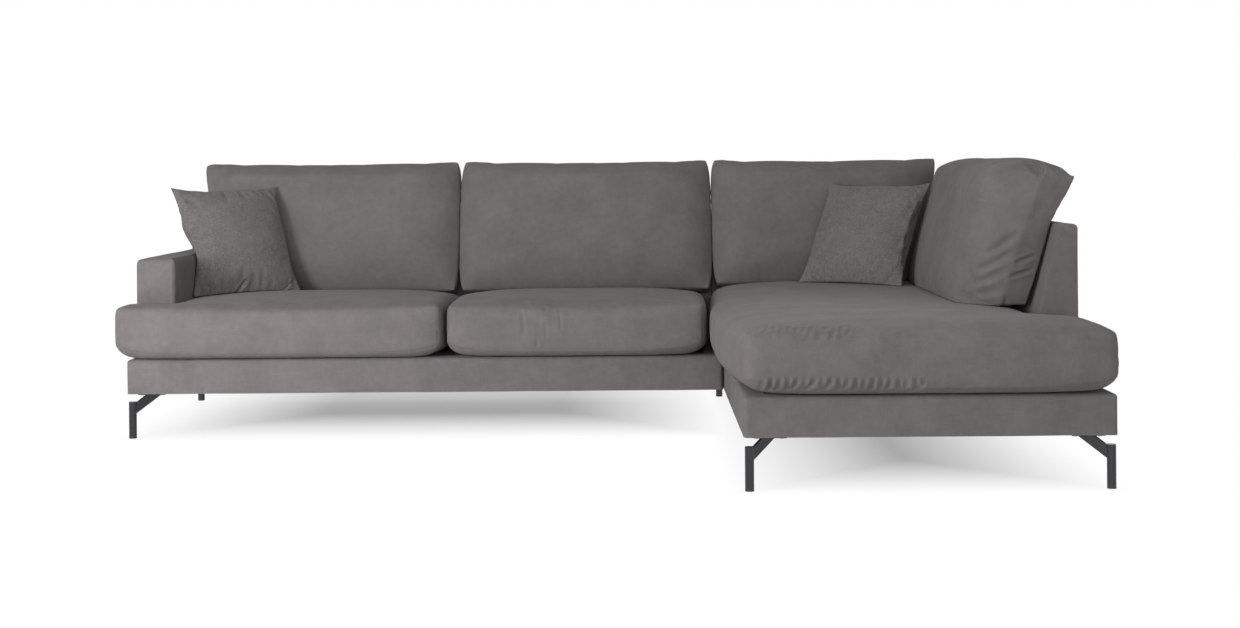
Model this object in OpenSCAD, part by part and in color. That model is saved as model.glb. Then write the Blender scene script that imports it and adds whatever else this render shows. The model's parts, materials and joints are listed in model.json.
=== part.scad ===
// Corner sofa: a two-seat module with one low arm, and a deep chaise module with a low side back.
// Millimetres, +Z up, the seats face -Y. The origin is on the floor under the centre of the outline.
// Positions are worked out from the front left corner of the two-seat base, and moved at the end.

/* [Overall] */
// Width of both modules side by side, over their bases
sofa_w = 2968; // [2500:1:3400]
// Width of the chaise module
chaise_w = 1014; // [900:1:1150]
// Depth of the two-seat module
sofa_d = 950; // [880:10:1050]
// How far the chaise reaches out in front of the two-seat module
chaise_out = 1005; // [800:1:1200]
// Height of the bases' underside above the floor
leg_h = 145; // [130:1:170]
// Height of the upholstered bases
base_h = 114; // [105:1:140]

/* [Arm and backs] */
// Width of the arm
arm_w = 134; // [110:1:170]
// Height of the arm above the base
arm_h = 318; // [260:1:360]
// How far the arm's front stands back from the front of the base
arm_setback = 113; // [80:1:180]
// Height of the backs above the base
back_h = 443; // [400:1:480]
// Thickness of a back at its top
back_top_t = 45; // [42:1:60]
// Thickness of a back where it stands on the base
back_foot_t = 156; // [130:1:180]
// How far the side back's front end stands behind the front of the chaise
side_back_setback = 423; // [350:1:600]

/* [Seat cushions] */
// How far the seat cushions reach past the fronts of the bases
seat_reach_front = 34; // [10:1:60]
// How far the left seat cushion's side stands out past the side of the base
seat_reach_side = 30; // [0:1:40]
// Height of the lower seam above the deck at the middle of a side
seam_lift = 7; // [3:1:15]
// How much higher than that the lower seam lies at a corner
corner_curl = 31; // [5:1:45]
// Height of the upper seam above the deck at a corner
seam_top = 171; // [140:1:190]
// How far the upper seam dips between the corners
seam_dip = 10; // [0:1:16]
// Rise of a two-seat cushion's top above its seam
seat_crown = 17; // [10:1:40]
// Rise of the chaise cushion's top above its seam
chaise_crown = 25; // [10:1:45]
// How far the bands swell outward between the seams
band_swell = 8; // [2:1:14]
// How far the chaise cushion's long free side bows out past its module
chaise_bow = 33; // [10:1:45]
// How far a two-seat cushion's seam sinks at its back edge
seat_sink = 30; // [10:1:40]
// How far the chaise cushion's seam sinks at its back edge
chaise_sink = 12; // [0:1:30]
// How much further the seams sink at the rear corners
corner_droop = 22; // [0:1:35]
// Place of the joint between the two seat cushions, from the arm's inner face
seat_split = 909; // [800:1:1050]

/* [Back cushions] */
// Height of the back cushions' front seam above the base
cushion_top = 647; // [580:1:700]
// Width of the band round a back cushion
back_band = 95; // [70:1:120]
// Rise of a back cushion's front above its seam
back_crown = 68; // [40:1:90]
// Rise of the long side cushion's front above its seam
side_crown = 121; // [60:1:130]
// How far the foot of a back cushion stands off the back it leans on
foot_out = 13; // [2:1:25]
// How far the back cushions' tops bend over the backs they lean on
cushion_bend = 40; // [10:1:45]
// Place of the joint between the left and middle back cushions, from the arm's inner face
back_split = 883; // [780:1:1000]
// How far the left back cushion's foot stands from the arm
from_arm = 56; // [46:1:80]
// How far the left back cushion's top corner lies over the arm
over_arm = 91; // [0:1:100]
// Room between the right back cushion's foot and the side back, for the side cushion
side_room_foot = 140; // [120:1:220]
// Room between the right back cushion's top and the side back's inner face
side_room_top = 113; // [100:1:220]
// How far the side cushion's near end stands behind the front end of the side back
side_cushion_setback = 122; // [80:1:300]
// How far the side cushion's ends slump at the top
side_slump = 36; // [0:1:50]

/* [Scatter pillows] */
// Side of a stuffed pillow, from corner to corner
pillow_side = 416; // [340:1:440]
// Thickness of a pillow at its middle
pillow_t = 128; // [90:1:160]
// How far a pillow's sides are drawn in between its corners
pillow_draw = 28; // [10:1:34]
// How far the side that a pillow stands on is drawn in
pillow_draw_low = 7; // [0:1:20]
// How far the left pillow leans back, in degrees
pillow_lean_left = 25; // [15:1:35]
// How far the right pillow leans back, in degrees
pillow_lean_right = 32; // [15:1:35]
// How far the left pillow is turned to the right, in degrees
pillow_turn_left = 40; // [10:1:45]
// How far the right pillow is turned to the left, in degrees
pillow_turn_right = 37; // [10:1:45]
// How far the left pillow's lower middle stands from the arm
pillow_from_arm = 164; // [160:1:400]
// How far the right pillow's lower middle stands from the side back
pillow_from_side_back = 391; // [360:1:600]

/* [Legs] */
// Outside diameter of a leg tube
leg_tube_d = 25; // [22:1:32]
// Wall of a leg tube
leg_wall = 2; // [1.5:0.5:3]
// Height of a leg up to the top of its cap
leg_top = 120; // [100:1:125]
// Thickness of the cap on a leg
leg_cap_t = 3; // [2:1:5]
// Thickness of the glide under a leg
glide_t = 4; // [3:1:6]
// Width of the slanted bar of a leg
leg_bar_w = 30; // [24:1:40]
// Thickness of the slanted bar
leg_bar_t = 8; // [5:1:10]
// Slope of the bar, in degrees
leg_bar_slope = 30; // [25:1:35]
// Side of the plate at the top of a leg
leg_plate = 90; // [80:1:100]
// Thickness of that plate
leg_plate_t = 5; // [3:1:6]
// How far the leg tubes stand in from the sides of the bases
leg_in = 4; // [0:1:12]
// How far the leg at the joint between the modules stands in from the chaise's side
joint_leg_in = 30; // [15:1:50]

/* [Upholstery] */
// Thickness of the outer fabric with its backing
fabric_t = 2.5; // [2:0.5:4]
// Thickness of the foam on outer faces
foam_t = 8; // [6:1:12]
// Thickness of the foam on the face that a cushion leans on
lean_foam_t = 12; // [10:1:14]
// Radius of the upholstered edges
edge_r = 14; // [12:1:20]
// Radius of the arm's edges
arm_edge_r = 20; // [12:1:24]
// Thickness of the timber rails
timber_t = 27; // [22:1:30]

/* [Hidden] */
$fn = 48;
base_top = leg_h + base_h;
module_gap = 1;
main_w = sofa_w - chaise_w - module_gap / 2;
chaise_l = sofa_d + chaise_out;
chaise_x = sofa_w - chaise_w + module_gap / 2;
rest_gap = 0.3;
side_gap = 1;
cover_gap = 0.1;
rake = (back_foot_t - back_top_t) / back_h;
rake_angle = atan(rake);
slant = 1 / cos(rake_angle);
side_back_y = side_back_setback - chaise_out;
return_lip = 60;
under_lip = 35;
pad_t = 8;
spring_t = 4;
spring_w = 56;
spring_pitch = 126;
clip_l = 14;
block_side = 115;
block_h = 60;
screw_r = 2.4;
screw_fit = 0.2;
bolt_r = 4;
bolt_fit = 0.3;
dust_t = 1.5;

// Profiles
function unit(v) = v / norm(v);
function fillet(a, p, b, r, n = 5) =
    let (u = unit(a - p), w = unit(b - p), half = acos(u * w) / 2, turn = 180 - 2 * half,
         c = p + unit(u + w) * r / sin(half), s = p + u * r / tan(half) - c, e = p + w * r / tan(half) - c)
    [for (i = [0:n]) c + (s * sin(turn * (1 - i / n)) + e * sin(turn * i / n)) / sin(turn)];
function rounded(pts, radii) = let (n = len(pts))
    [for (i = [0:n - 1]) each radii[i] == 0 ? [pts[i]]
        : fillet(pts[(i + n - 1) % n], pts[i], pts[(i + 1) % n], radii[i])];
// Inner face of a back: its distance from the back's outer face, at height q above the base
function lean_face(q) = back_foot_t - rake * q;
// Cross-section of a back, with its outer face, top, bottom and leaning face drawn in
function back_profile(outer, top, bottom, lean) =
    let (hi = back_h - top)
    [[outer, bottom], [outer, hi],
     [lean_face(hi) - lean * slant, hi], [lean_face(bottom) - lean * slant, bottom]];

module along_x(length) rotate([90, 0, 90]) linear_extrude(length) children();
module along_y(length) translate([0, length, 0]) rotate([90, 0, 0]) linear_extrude(length) children();
module top_rounded(w, h, r) polygon(rounded([[0, 0], [0, h], [w, h], [w, 0]], [0, r, r, 0]));

// A box with round top edges and round upright edges
module soft_box(w, d, h, r) {
    intersection() {
        along_y(d) top_rounded(w, h, r);
        along_x(w) top_rounded(d, h, r);
        linear_extrude(h) polygon(rounded([[0, 0], [0, d], [w, d], [w, 0]], [r, r, r, r]));
    }
}

// Everything in front of the main back's leaning face, drawn in by lean
module front_of_back(lean) {
    far = 3 * chaise_l;
    translate([-sofa_w, sofa_d - cover_gap, base_top]) along_x(3 * sofa_w)
        polygon([[-far, -base_h], [-lean_face(-base_h) - lean * slant, -base_h],
                 [-lean_face(2 * back_h) - lean * slant, 2 * back_h], [-far, 2 * back_h]]);
}

// Bases, drawn with their long side along X and their front left corner at the origin
module base_core_box(l, w, z0, z1) {
    skin = fabric_t + foam_t;
    translate([skin, skin, z0]) cube([l - 2 * skin, w - 2 * skin, z1 - z0]);
}
rail_z0 = fabric_t;
rail_z1 = base_h - fabric_t - pad_t;
rail_in = fabric_t + foam_t;

module base_inside(l, w) {
    translate([fabric_t, fabric_t, fabric_t])
        soft_box(l - 2 * fabric_t, w - 2 * fabric_t, base_h - 2 * fabric_t, edge_r - fabric_t);
}

module base_shell(l, w) {
    difference() {
        soft_box(l, w, base_h, edge_r);
        base_inside(l, w);
        translate([return_lip, return_lip, base_h / 2])
            cube([l - 2 * return_lip, w - 2 * return_lip, base_h]);
        translate([under_lip, under_lip, -base_h / 2]) cube([l - 2 * under_lip, w - 2 * under_lip, base_h]);
    }
}

// Splits what it is given into the four sides of a base
module four_sides(l, w) {
    for (y = [0, w - return_lip])
        intersection() {
            children();
            translate([0, y, 0]) cube([l, return_lip, base_h]);
        }
    for (x = [0, l - return_lip])
        intersection() {
            children();
            translate([x, return_lip, 0]) cube([return_lip, w - 2 * return_lip, base_h]);
        }
}

module base_cover(l, w) four_sides(l, w) base_shell(l, w);

module base_padding(l, w) {
    four_sides(l, w) difference() {
        base_inside(l, w);
        base_core_box(l, w, -1, rail_z1 + 1);
        translate([0, 0, rail_z1]) cube([l, w, base_h]);
    }
}

module deck_pad(l, w) {
    intersection() {
        base_inside(l, w);
        translate([0, 0, rail_z1]) cube([l, w, pad_t]);
    }
}

module deck_cloth(l, w) {
    translate([return_lip, return_lip, base_h - fabric_t])
        cube([l - 2 * return_lip, w - 2 * return_lip, fabric_t]);
}

module long_rails(l, w) {
    for (y = [rail_in, w - rail_in - timber_t])
        translate([rail_in, y, rail_z0]) cube([l - 2 * rail_in, timber_t, rail_z1 - rail_z0]);
}

module cross_rails(l, w) {
    inner = rail_in + timber_t;
    for (x = [rail_in, l - rail_in - timber_t])
        translate([x, inner, rail_z0]) cube([timber_t, w - 2 * inner, rail_z1 - rail_z0]);
    for (i = [1, 2])
        translate([l * i / 3 - timber_t / 2, inner, rail_z0])
            cube([timber_t, w - 2 * inner, (rail_z1 - rail_z0) * 0.75]);
}

function block_places(l, w, extra) = let (inner = rail_in + timber_t)
    concat([for (x = [inner, l - inner - block_side], y = [inner, w - inner - block_side]) [x, y]], extra);

module blocks(places) for (p = places) translate([p[0], p[1], 0]) cube([block_side, block_side, block_h]);

// Zigzag seat springs, one flat wavy band each, hooked into clips on the long rails
module springs(l, w) {
    inner = rail_in + timber_t;
    n = floor((l - 2 * inner - spring_w) / spring_pitch);
    first = (l - (n - 1) * spring_pitch) / 2;
    y0 = inner + clip_l;
    span = w - 2 * y0;
    bends = 2 * round(span / 70);
    for (k = [0:n - 1])
        translate([first + k * spring_pitch, y0, rail_z1 - 3 * spring_t])
            linear_extrude(spring_t) polygon(concat(
                [for (i = [0:bends]) [wave(i, bends) - spring_t / 2, span * i / bends]],
                [for (i = [bends:-1:0]) [wave(i, bends) + spring_t / 2, span * i / bends]]));
}
function wave(i, bends) = (i == 0 || i == bends) ? 0 : (i % 2 == 0 ? -1 : 1) * (spring_w / 2 - spring_t / 2);

module spring_clips(l, w) {
    inner = rail_in + timber_t;
    n = floor((l - 2 * inner - spring_w) / spring_pitch);
    first = (l - (n - 1) * spring_pitch) / 2;
    for (k = [0:n - 1], y = [inner, w - inner - clip_l])
        translate([first + k * spring_pitch - 11, y, rail_z1 - 4 * spring_t])
            cube([22, clip_l, 3 * spring_t]);
}

module dust_cover(l, w, places) {
    difference() {
        translate([under_lip, under_lip, 0]) cube([l - 2 * under_lip, w - 2 * under_lip, dust_t]);
        for (p = places) translate([p[0], p[1], -1]) cube([block_side, block_side, block_h]);
    }
}

// The two-seat base lies along X, the chaise base along Y
module at_main() translate([0, 0, leg_h]) children();
module at_chaise() translate([sofa_w, -chaise_out, leg_h]) rotate([0, 0, 90]) children();
chaise_base_w = chaise_w - module_gap / 2;
rear_join_in = 310;
join_y = [rail_in + timber_t + block_side / 2, sofa_d - rear_join_in];
beside_joint = rail_in + timber_t + block_side;
main_blocks = block_places(main_w, sofa_d, [[main_w - beside_joint, join_y[1] - block_side / 2]]);
chaise_blocks = block_places(chaise_l, chaise_base_w,
    [for (y = join_y) [chaise_out + y - block_side / 2, chaise_base_w - beside_joint]]);

// Legs: place of the tube's axis, and the way its bar points
tube_r = leg_tube_d / 2;
axis_in = tube_r + leg_in;
legs = [
    [axis_in, axis_in, 1, 1],
    [axis_in, sofa_d - axis_in, 1, -1],
    [chaise_x + axis_in, axis_in - chaise_out, 1, 1],
    [sofa_w - axis_in, axis_in - chaise_out, -1, 1],
    [chaise_x + joint_leg_in, sofa_d - axis_in, 1, -1],
    [sofa_w - axis_in, sofa_d - axis_in, -1, -1]];
plate_from_axis = leg_plate / 2 + rail_in + timber_t - axis_in - 8;
plate_hole = leg_plate / 2 - 11;
bar_low = leg_top - leg_cap_t - leg_bar_w / cos(leg_bar_slope) - 1;
plate_z = leg_h - leg_plate_t;

module at_legs() for (g = legs) translate([g[0], g[1], 0]) rotate([0, 0, atan2(g[3], g[2]) - 45]) children();
module plate_holes(r, h) for (x = [-1, 1], y = [-1, 1])
    translate([plate_from_axis + x * plate_hole, plate_from_axis + y * plate_hole, 0]) cylinder(h = h, r = r);

module leg_tubes() color("dimgray") at_legs() translate([0, 0, glide_t]) difference() {
    cylinder(h = leg_top - leg_cap_t - glide_t, r = tube_r);
    translate([0, 0, -1]) cylinder(h = leg_top, r = tube_r - leg_wall);
}

module leg_caps() color("dimgray") at_legs() {
    translate([0, 0, leg_top - leg_cap_t]) cylinder(h = leg_cap_t, r = tube_r);
    translate([0, 0, leg_top - leg_cap_t - 10]) cylinder(h = 10, r = tube_r - leg_wall - screw_fit);
}

module leg_glides() color("black") at_legs() {
    cylinder(h = glide_t, r = tube_r);
    translate([0, 0, glide_t]) cylinder(h = 20, r = tube_r - leg_wall - screw_fit);
}

module leg_bars() color("dimgray") at_legs() difference() {
    rotate([0, 0, 45]) translate([0, leg_bar_t / 2, 0]) rotate([90, 0, 0]) linear_extrude(leg_bar_t)
        polygon([[0, bar_low - tube_r * tan(leg_bar_slope)],
                 [(plate_z - bar_low) / tan(leg_bar_slope) + tube_r, plate_z],
                 [(plate_z - leg_top + leg_cap_t + 1) / tan(leg_bar_slope) + tube_r, plate_z],
                 [0, leg_top - leg_cap_t - 1 - tube_r * tan(leg_bar_slope)]]);
    cylinder(h = leg_h, r = tube_r);
}

module leg_plates() color("dimgray") at_legs() difference() {
    translate([plate_from_axis - leg_plate / 2, plate_from_axis - leg_plate / 2, plate_z])
        cube([leg_plate, leg_plate, leg_plate_t]);
    translate([0, 0, plate_z - 1]) plate_holes(screw_r + screw_fit, leg_plate_t + 2);
}

module leg_screws() color("silver") at_legs() {
    translate([0, 0, plate_z - 3]) plate_holes(5, 3);
    translate([0, 0, plate_z]) plate_holes(screw_r, 30);
}

module screw_bores() at_legs() translate([0, 0, leg_h - 1]) plate_holes(screw_r + screw_fit, 28);

// Plates that join the modules from below, each on a block of either module
joint_x = sofa_w - chaise_w;
join_l = 2 * (rail_in + timber_t + block_side / 2);
join_w = 50;
join_t = 4;
join_screw_x = rail_in + timber_t + 18;
join_screw_pitch = 26;

module join_screw_places() for (y = join_y, x = [-1, 1], k = [0, join_screw_pitch])
    translate([joint_x + x * (join_screw_x + k), y, 0]) children();
module joining_plates() color("silver") difference() {
    for (y = join_y)
        translate([joint_x - join_l / 2, y - join_w / 2, leg_h - join_t]) cube([join_l, join_w, join_t]);
    join_screw_places() translate([0, 0, leg_h - 2 * join_t])
        cylinder(h = 3 * join_t, r = screw_r + screw_fit);
}
module joining_screws() color("silver") join_screw_places() {
    translate([0, 0, leg_h - join_t - 3]) cylinder(h = 3, r = 5);
    translate([0, 0, leg_h - join_t]) cylinder(h = 30, r = screw_r);
}
module join_bores() join_screw_places() translate([0, 0, leg_h - 1])
    cylinder(h = 29, r = screw_r + screw_fit);

// Long bolts from the bases' rails up into the arm and the backs
bolt_in = rail_in + timber_t / 2;
bolt_head_z = leg_h + 25;
foot_rail_h = 40;
foot_top = base_top + fabric_t + foot_rail_h;
arm_bolt_in = 90;
side_bolt_in = 110;
joint_bolt_in = 200;
left_bolt_in = 300;
corner_bolt_in = 400;
rear_bolt_y = sofa_d - 330;
bolt_places = concat(
    [for (y = [arm_setback + arm_bolt_in, rear_bolt_y]) [bolt_in, y]],
    [for (x = [left_bolt_in, main_w * 0.62, main_w - joint_bolt_in]) [x, sofa_d - bolt_in]],
    [for (x = [chaise_x + joint_bolt_in, sofa_w - corner_bolt_in]) [x, sofa_d - bolt_in]],
    [for (y = [side_back_y + side_bolt_in, (side_back_y + sofa_d) / 2, rear_bolt_y])
        [sofa_w - bolt_in, y]]);
module bolts_at() for (p = bolt_places) translate([p[0], p[1], 0]) children();
module frame_bolts() color("silver") bolts_at() {
    translate([0, 0, bolt_head_z - 5]) cylinder(h = 5, r = 7);
    translate([0, 0, bolt_head_z]) cylinder(h = foot_top + 8 - bolt_head_z, r = bolt_r);
}
module frame_nuts() color("silver") bolts_at() translate([0, 0, foot_top]) difference() {
    cylinder(h = 6, r = 8);
    translate([0, 0, -1]) cylinder(h = 8, r = bolt_r + bolt_fit);
}
module bolt_bores() bolts_at() {
    translate([0, 0, bolt_head_z]) cylinder(h = foot_top + 9 - bolt_head_z, r = bolt_r + bolt_fit);
    translate([0, 0, 0]) cylinder(h = bolt_head_z, r = 8);
}

// Arm: its outer body, drawn in on the sides, top, bottom and where it meets the back
module arm_body(side, top, bottom, r) {
    intersection() {
        translate([side, arm_setback + side, base_top + bottom])
            soft_box(arm_w - 2 * side, sofa_d - arm_setback, arm_h - top - bottom, r);
        front_of_back(side);
    }
}
arm_skin = fabric_t + foam_t;
arm_top_skin = fabric_t + 15;
board_t = 3;
module arm_core(side) intersection() {
    translate([side, arm_setback + arm_skin, base_top + fabric_t])
        cube([arm_w - 2 * side, sofa_d, arm_h - arm_top_skin - fabric_t]);
    front_of_back(arm_skin);
}
module arm_cover() color("gray") difference() {
    arm_body(0, 0, 0, arm_edge_r);
    arm_body(fabric_t, fabric_t, fabric_t, arm_edge_r - fabric_t);
    bolt_bores();
}
module arm_padding() color("beige") difference() {
    arm_body(fabric_t, fabric_t, fabric_t, arm_edge_r - fabric_t);
    arm_core(arm_skin);
}
module arm_boards() color("tan") difference() {
    arm_core(arm_skin);
    translate([arm_skin + board_t, 0, 0])
        cube([arm_w - 2 * (arm_skin + board_t), 2 * sofa_d, 2 * base_top + arm_h]);
}
module arm_frame() color("burlywood") difference() {
    arm_core(arm_skin + board_t);
    bolt_bores();
    inner_y = arm_setback + arm_skin + timber_t;
    rear_y = sofa_d - back_foot_t - arm_skin * slant - timber_t;
    mid_y = (inner_y + rear_y - timber_t) / 2;
    for (bay = [[inner_y, mid_y], [mid_y + timber_t, rear_y]])
        translate([0, bay[0], foot_top])
            cube([arm_w, bay[1] - bay[0], arm_h - arm_top_skin - fabric_t - foot_rail_h - timber_t]);
}

// Backs, drawn along X with the outer face at y = 0 and the leaning face towards +Y
module back_body(l, outer, top, bottom, lean, ends, r) {
    intersection() {
        translate([ends, 0, 0]) along_x(l - 2 * ends)
            polygon(rounded(back_profile(outer, top, bottom, lean), [0, r, r, 0]));
        translate([ends, 0, bottom]) along_y(back_foot_t) top_rounded(l - 2 * ends, back_h - top - bottom, r);
    }
}
core_outer = fabric_t + foam_t;
core_top = fabric_t + lean_foam_t;
strap_t = 2;
strap_w = 60;
core_lean = fabric_t + lean_foam_t + strap_t;
top_rail_h = 50;
module back_skin(l, lean, ends) back_body(l, fabric_t, fabric_t, fabric_t, lean, ends, edge_r - fabric_t);
module back_hollow(l, lean) translate([core_outer, 0, 0]) along_x(l - 2 * core_outer)
    polygon(back_profile(core_outer, core_top, fabric_t, lean));
module back_cover(l) difference() {
    back_body(l, 0, 0, 0, 0, 0, edge_r);
    back_skin(l, fabric_t, fabric_t);
}
module back_padding(l) difference() {
    back_skin(l, fabric_t, fabric_t);
    back_hollow(l, core_lean - strap_t);
}
// Uprights, a foot rail and a top rail, with bays between them
module back_frame(l, bays) difference() {
    back_hollow(l, core_lean);
    bay_w = (l - 2 * core_outer - timber_t) / bays;
    for (i = [0:bays - 1])
        translate([core_outer + timber_t + i * bay_w, -1, fabric_t + foot_rail_h])
            cube([bay_w - timber_t, back_foot_t + 2,
                  back_h - core_top - fabric_t - foot_rail_h - top_rail_h]);
}
// Webbing straps on the leaning side of the frame, from the foot rail to the top rail
module back_straps(l) {
    n = floor((l - 2 * core_outer - 2 * timber_t) / (2 * strap_w));
    pitch = (l - 2 * core_outer) / n;
    lo = foot_rail_h / 2;
    hi = back_h - core_top - 5;
    for (i = [0:n - 1])
        translate([core_outer + (i + 0.5) * pitch - strap_w / 2, 0, 0]) along_x(strap_w)
            polygon([for (e = [[core_lean, lo], [core_lean, hi],
                               [core_lean - strap_t, hi], [core_lean - strap_t, lo]])
                [lean_face(e[1]) - e[0] * slant, e[1]]]);
}
module at_main_back() translate([0, sofa_d, base_top]) mirror([0, 1, 0]) children();
module at_chaise_back() translate([chaise_x, sofa_d, base_top]) mirror([0, 1, 0]) children();
module at_side_back() translate([sofa_w, side_back_y, base_top]) rotate([0, 0, 90]) children();
side_back_l = sofa_d - side_back_y;
chaise_back_l = sofa_w - chaise_x;

// Soft forms: a grid of lines across the form, in layers from its low face to its high face.
// cut is [side, x, y]: side -1 or 1 leaves out what lies left or right of x and behind y, 0 nothing.
function spread(a, b, n) = [for (i = [0:n]) let (t = i / n) a + (b - a) * (t / 2 + (1 - cos(180 * t)) / 4)];
function joined(p, q) = concat(p, [for (i = [1:len(q) - 1]) q[i]]);
function cell_kept(xs, ys, cut, i, j) =
    i >= 0 && j >= 0 && i < len(xs) - 1 && j < len(ys) - 1
    && !(cut[0] * ((xs[i] + xs[i + 1]) / 2 - cut[1]) > 0 && (ys[j] + ys[j + 1]) / 2 > cut[2]);
function form_faces(xs, ys, layers, cut) =
    let (nx = len(xs), ny = len(ys), id = function (k, p) (k * nx + p[0]) * ny + p[1])
    [for (i = [0:nx - 2], j = [0:ny - 2]) if (cell_kept(xs, ys, cut, i, j))
        let (a = [i, j], b = [i + 1, j], c = [i + 1, j + 1], d = [i, j + 1], t = layers - 1)
        each concat(
            [[id(t, a), id(t, c), id(t, b)], [id(t, a), id(t, d), id(t, c)],
             [id(0, a), id(0, b), id(0, c)], [id(0, a), id(0, c), id(0, d)]],
            [for (e = [[a, b, 0, -1], [b, c, 1, 0], [c, d, 0, 1], [d, a, -1, 0]])
                if (!cell_kept(xs, ys, cut, i + e[2], j + e[3]))
                    for (k = [0:layers - 2])
                        each [[id(k, e[0]), id(k + 1, e[1]), id(k, e[1])],
                              [id(k, e[0]), id(k + 1, e[0]), id(k + 1, e[1])]]])];
// Rise of a stuffed face at distance d from its seam, 0 at the seam and 1 from reach on
function rise(d, reach) = d <= 0 ? 0 : d >= reach ? 1 : 1 - pow(1 - d / reach, 2.4);
function smooth(t) = t <= 0 ? 0 : t >= 1 ? 1 : t * t * (3 - 2 * t);
function mid(t) = sin(180 * max(0, min(1, t)));
layers = 5;

// Seat cushions: [x0, x1, y0, cut, crown, sink, sink start, bow of the left side, skew of the right side]
seat_reach = 300;
seat_back_y = sofa_d - lean_face(0) - side_gap;
rear_y = seat_back_y + rake * seam_top;
corner_in = 8;
curl_reach = 330;
seat_front_y = -seat_reach_front;
cushion_split = arm_w + seat_split;
fullest_y = 2 * seat_front_y;
middle_skew = 15;
arm_cut = [-1, arm_w + side_gap, arm_setback - side_gap];
side_cut = [1, sofa_w - back_foot_t - side_gap, side_back_y - side_gap];
seat_left = [-seat_reach_side, cushion_split - side_gap - band_swell, seat_front_y, arm_cut,
    seat_crown, seat_sink, 250, 0, 0];
seat_middle = [cushion_split + band_swell, chaise_x - chaise_bow - 3 * band_swell - 2 * side_gap,
    seat_front_y, [0, 0, 0], seat_crown, seat_sink, 250, 0, middle_skew];
seat_chaise = [chaise_x, sofa_w, seat_front_y - chaise_out, side_cut,
    chaise_crown, chaise_sink, 500, chaise_bow, 0];
function seat_xs(c) = c[3][0] == 0 ? spread(c[0], c[1], 10)
    : c[3][0] < 0 ? joined(spread(c[0], c[3][1], 3), spread(c[3][1], c[1], 9))
    : joined(spread(c[0], c[3][1], 9), spread(c[3][1], c[1], 3));
function seat_ys(c) = c[3][0] == 0 ? spread(c[2], seat_back_y, 9)
    : joined(spread(c[2], c[3][2], c[3][0] < 0 ? 3 : 5), spread(c[3][2], seat_back_y, c[3][0] < 0 ? 8 : 12));
function bow(c, y) = c[7] * (y < fullest_y ? smooth((y - c[2]) / 640) : (rear_y - y) / (rear_y - fullest_y));
function skew(c, y) = c[8] * (y - c[2]) / (rear_y - c[2]);
function from_side(c, x, y) = min(x - c[0] + bow(c, y), c[1] + skew(c, y) - x);
function sink(c, x, y) = pow(max(0, (y - c[6]) / (rear_y - c[6])), 2)
    * (c[5] + corner_droop * (1 - rise(from_side(c, x, y), 160)));
function cut_lean(c) = c[3][0] > 0 ? rake * seam_top : 0;
function past_cut(c, x, y) = c[3][0] == 0 ? seat_reach
    : norm([max(0, -c[3][0] * (x - c[3][1] - cut_lean(c))), max(0, c[3][2] - y)]);
// Height of a seat cushion's top at x, y
function seat_top(c, x, y) =
    base_top + rest_gap + seam_top - sink(c, x, y)
    + c[4] * rise(x - c[0] + bow(c, y), seat_reach) * rise(c[1] + skew(c, y) - x, seat_reach)
    * rise(y - c[2], seat_reach) * rise(rear_y - y, seat_reach) * rise(past_cut(c, x, y), seat_reach);
// Length of the edge that a point lies on, and how far along it the point lies, 0 and 1 at the corners
function edge_length(c, i, nx) = i == 0 || i == nx
    ? ((c[3][0] < 0 && i == 0) || (c[3][0] > 0 && i == nx) ? c[3][2] : seat_back_y) - c[2] : c[1] - c[0];
function along(c, x, y, i, nx) = (i == 0 || i == nx ? y - c[2] : x - c[0]) / edge_length(c, i, nx);
function seat_point(c, xs, ys, k, i, j) =
    let (
        x = xs[i], y = ys[j], h = k / (layers - 1), nx = len(xs) - 1, ny = len(ys) - 1, cut = c[3],
        on_cut_x = cut[0] != 0 && x == cut[1] && y >= cut[2],
        on_cut_y = cut[0] != 0 && y == cut[2] && cut[0] * (x - cut[1]) >= 0,
        outer = i == 0 || j == 0 || i == nx || j == ny,
        t = along(c, x, y, i, nx), m = mid(t), from_corner = max(0, min(t, 1 - t)) * edge_length(c, i, nx),
        m_side = i == 0 || i == nx ? m : 0, m_front = j == 0 || j == ny ? (i == 0 || i == nx ? 0 : m) : 0,
        corner = i == 0 || i == nx ? (j == 0 || j == ny || on_cut_y) : false,
        swell = band_swell * mid(h),
        curl = corner_curl * pow(1 - min(1, (corner ? 0 : from_corner) / curl_reach), 3.4),
        low = base_top + rest_gap + (outer ? seam_lift + curl : on_cut_x || on_cut_y ? seam_lift : 0),
        dip = outer && !corner && j == 0 ? seam_dip * m : 0,
        high = seat_top(c, x + (on_cut_x ? cut_lean(c) : 0), y + (j == ny ? rake * seam_top : 0)) - dip,
        z = low + (high - low) * h,
        lean_back = j == ny ? rake * (z - base_top) : 0,
        lean_side = on_cut_x && cut[0] > 0 ? rake * (z - base_top) : 0,
        left = corner_in * pow(1 - m_side, 4) - swell * (sqrt(m_side) + bow(c, y) / 33) - bow(c, y),
        right = skew(c, y) - corner_in * pow(1 - m_side, 4) + swell * sqrt(m_side),
        front = corner_in * pow(1 - m_front, 4) - swell * sqrt(m_front))
    [x + (i == 0 ? left : i == nx ? right : 0) + lean_side, y + (j == 0 ? front : 0) + lean_back, z];
function seat_points(c) = let (xs = seat_xs(c), ys = seat_ys(c))
    [for (k = [0:layers - 1], i = [0:len(xs) - 1], j = [0:len(ys) - 1]) seat_point(c, xs, ys, k, i, j)];
module seat_form(c)
    polyhedron(points = seat_points(c), faces = form_faces(seat_xs(c), seat_ys(c), layers, c[3]));

// Highest seat surface at x, y
function on_seats(x, y) = max([for (c = [seat_left, seat_middle, seat_chaise])
    from_side(c, x, y) >= -band_swell ? seat_top(c, x, y) : base_top]);

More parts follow.
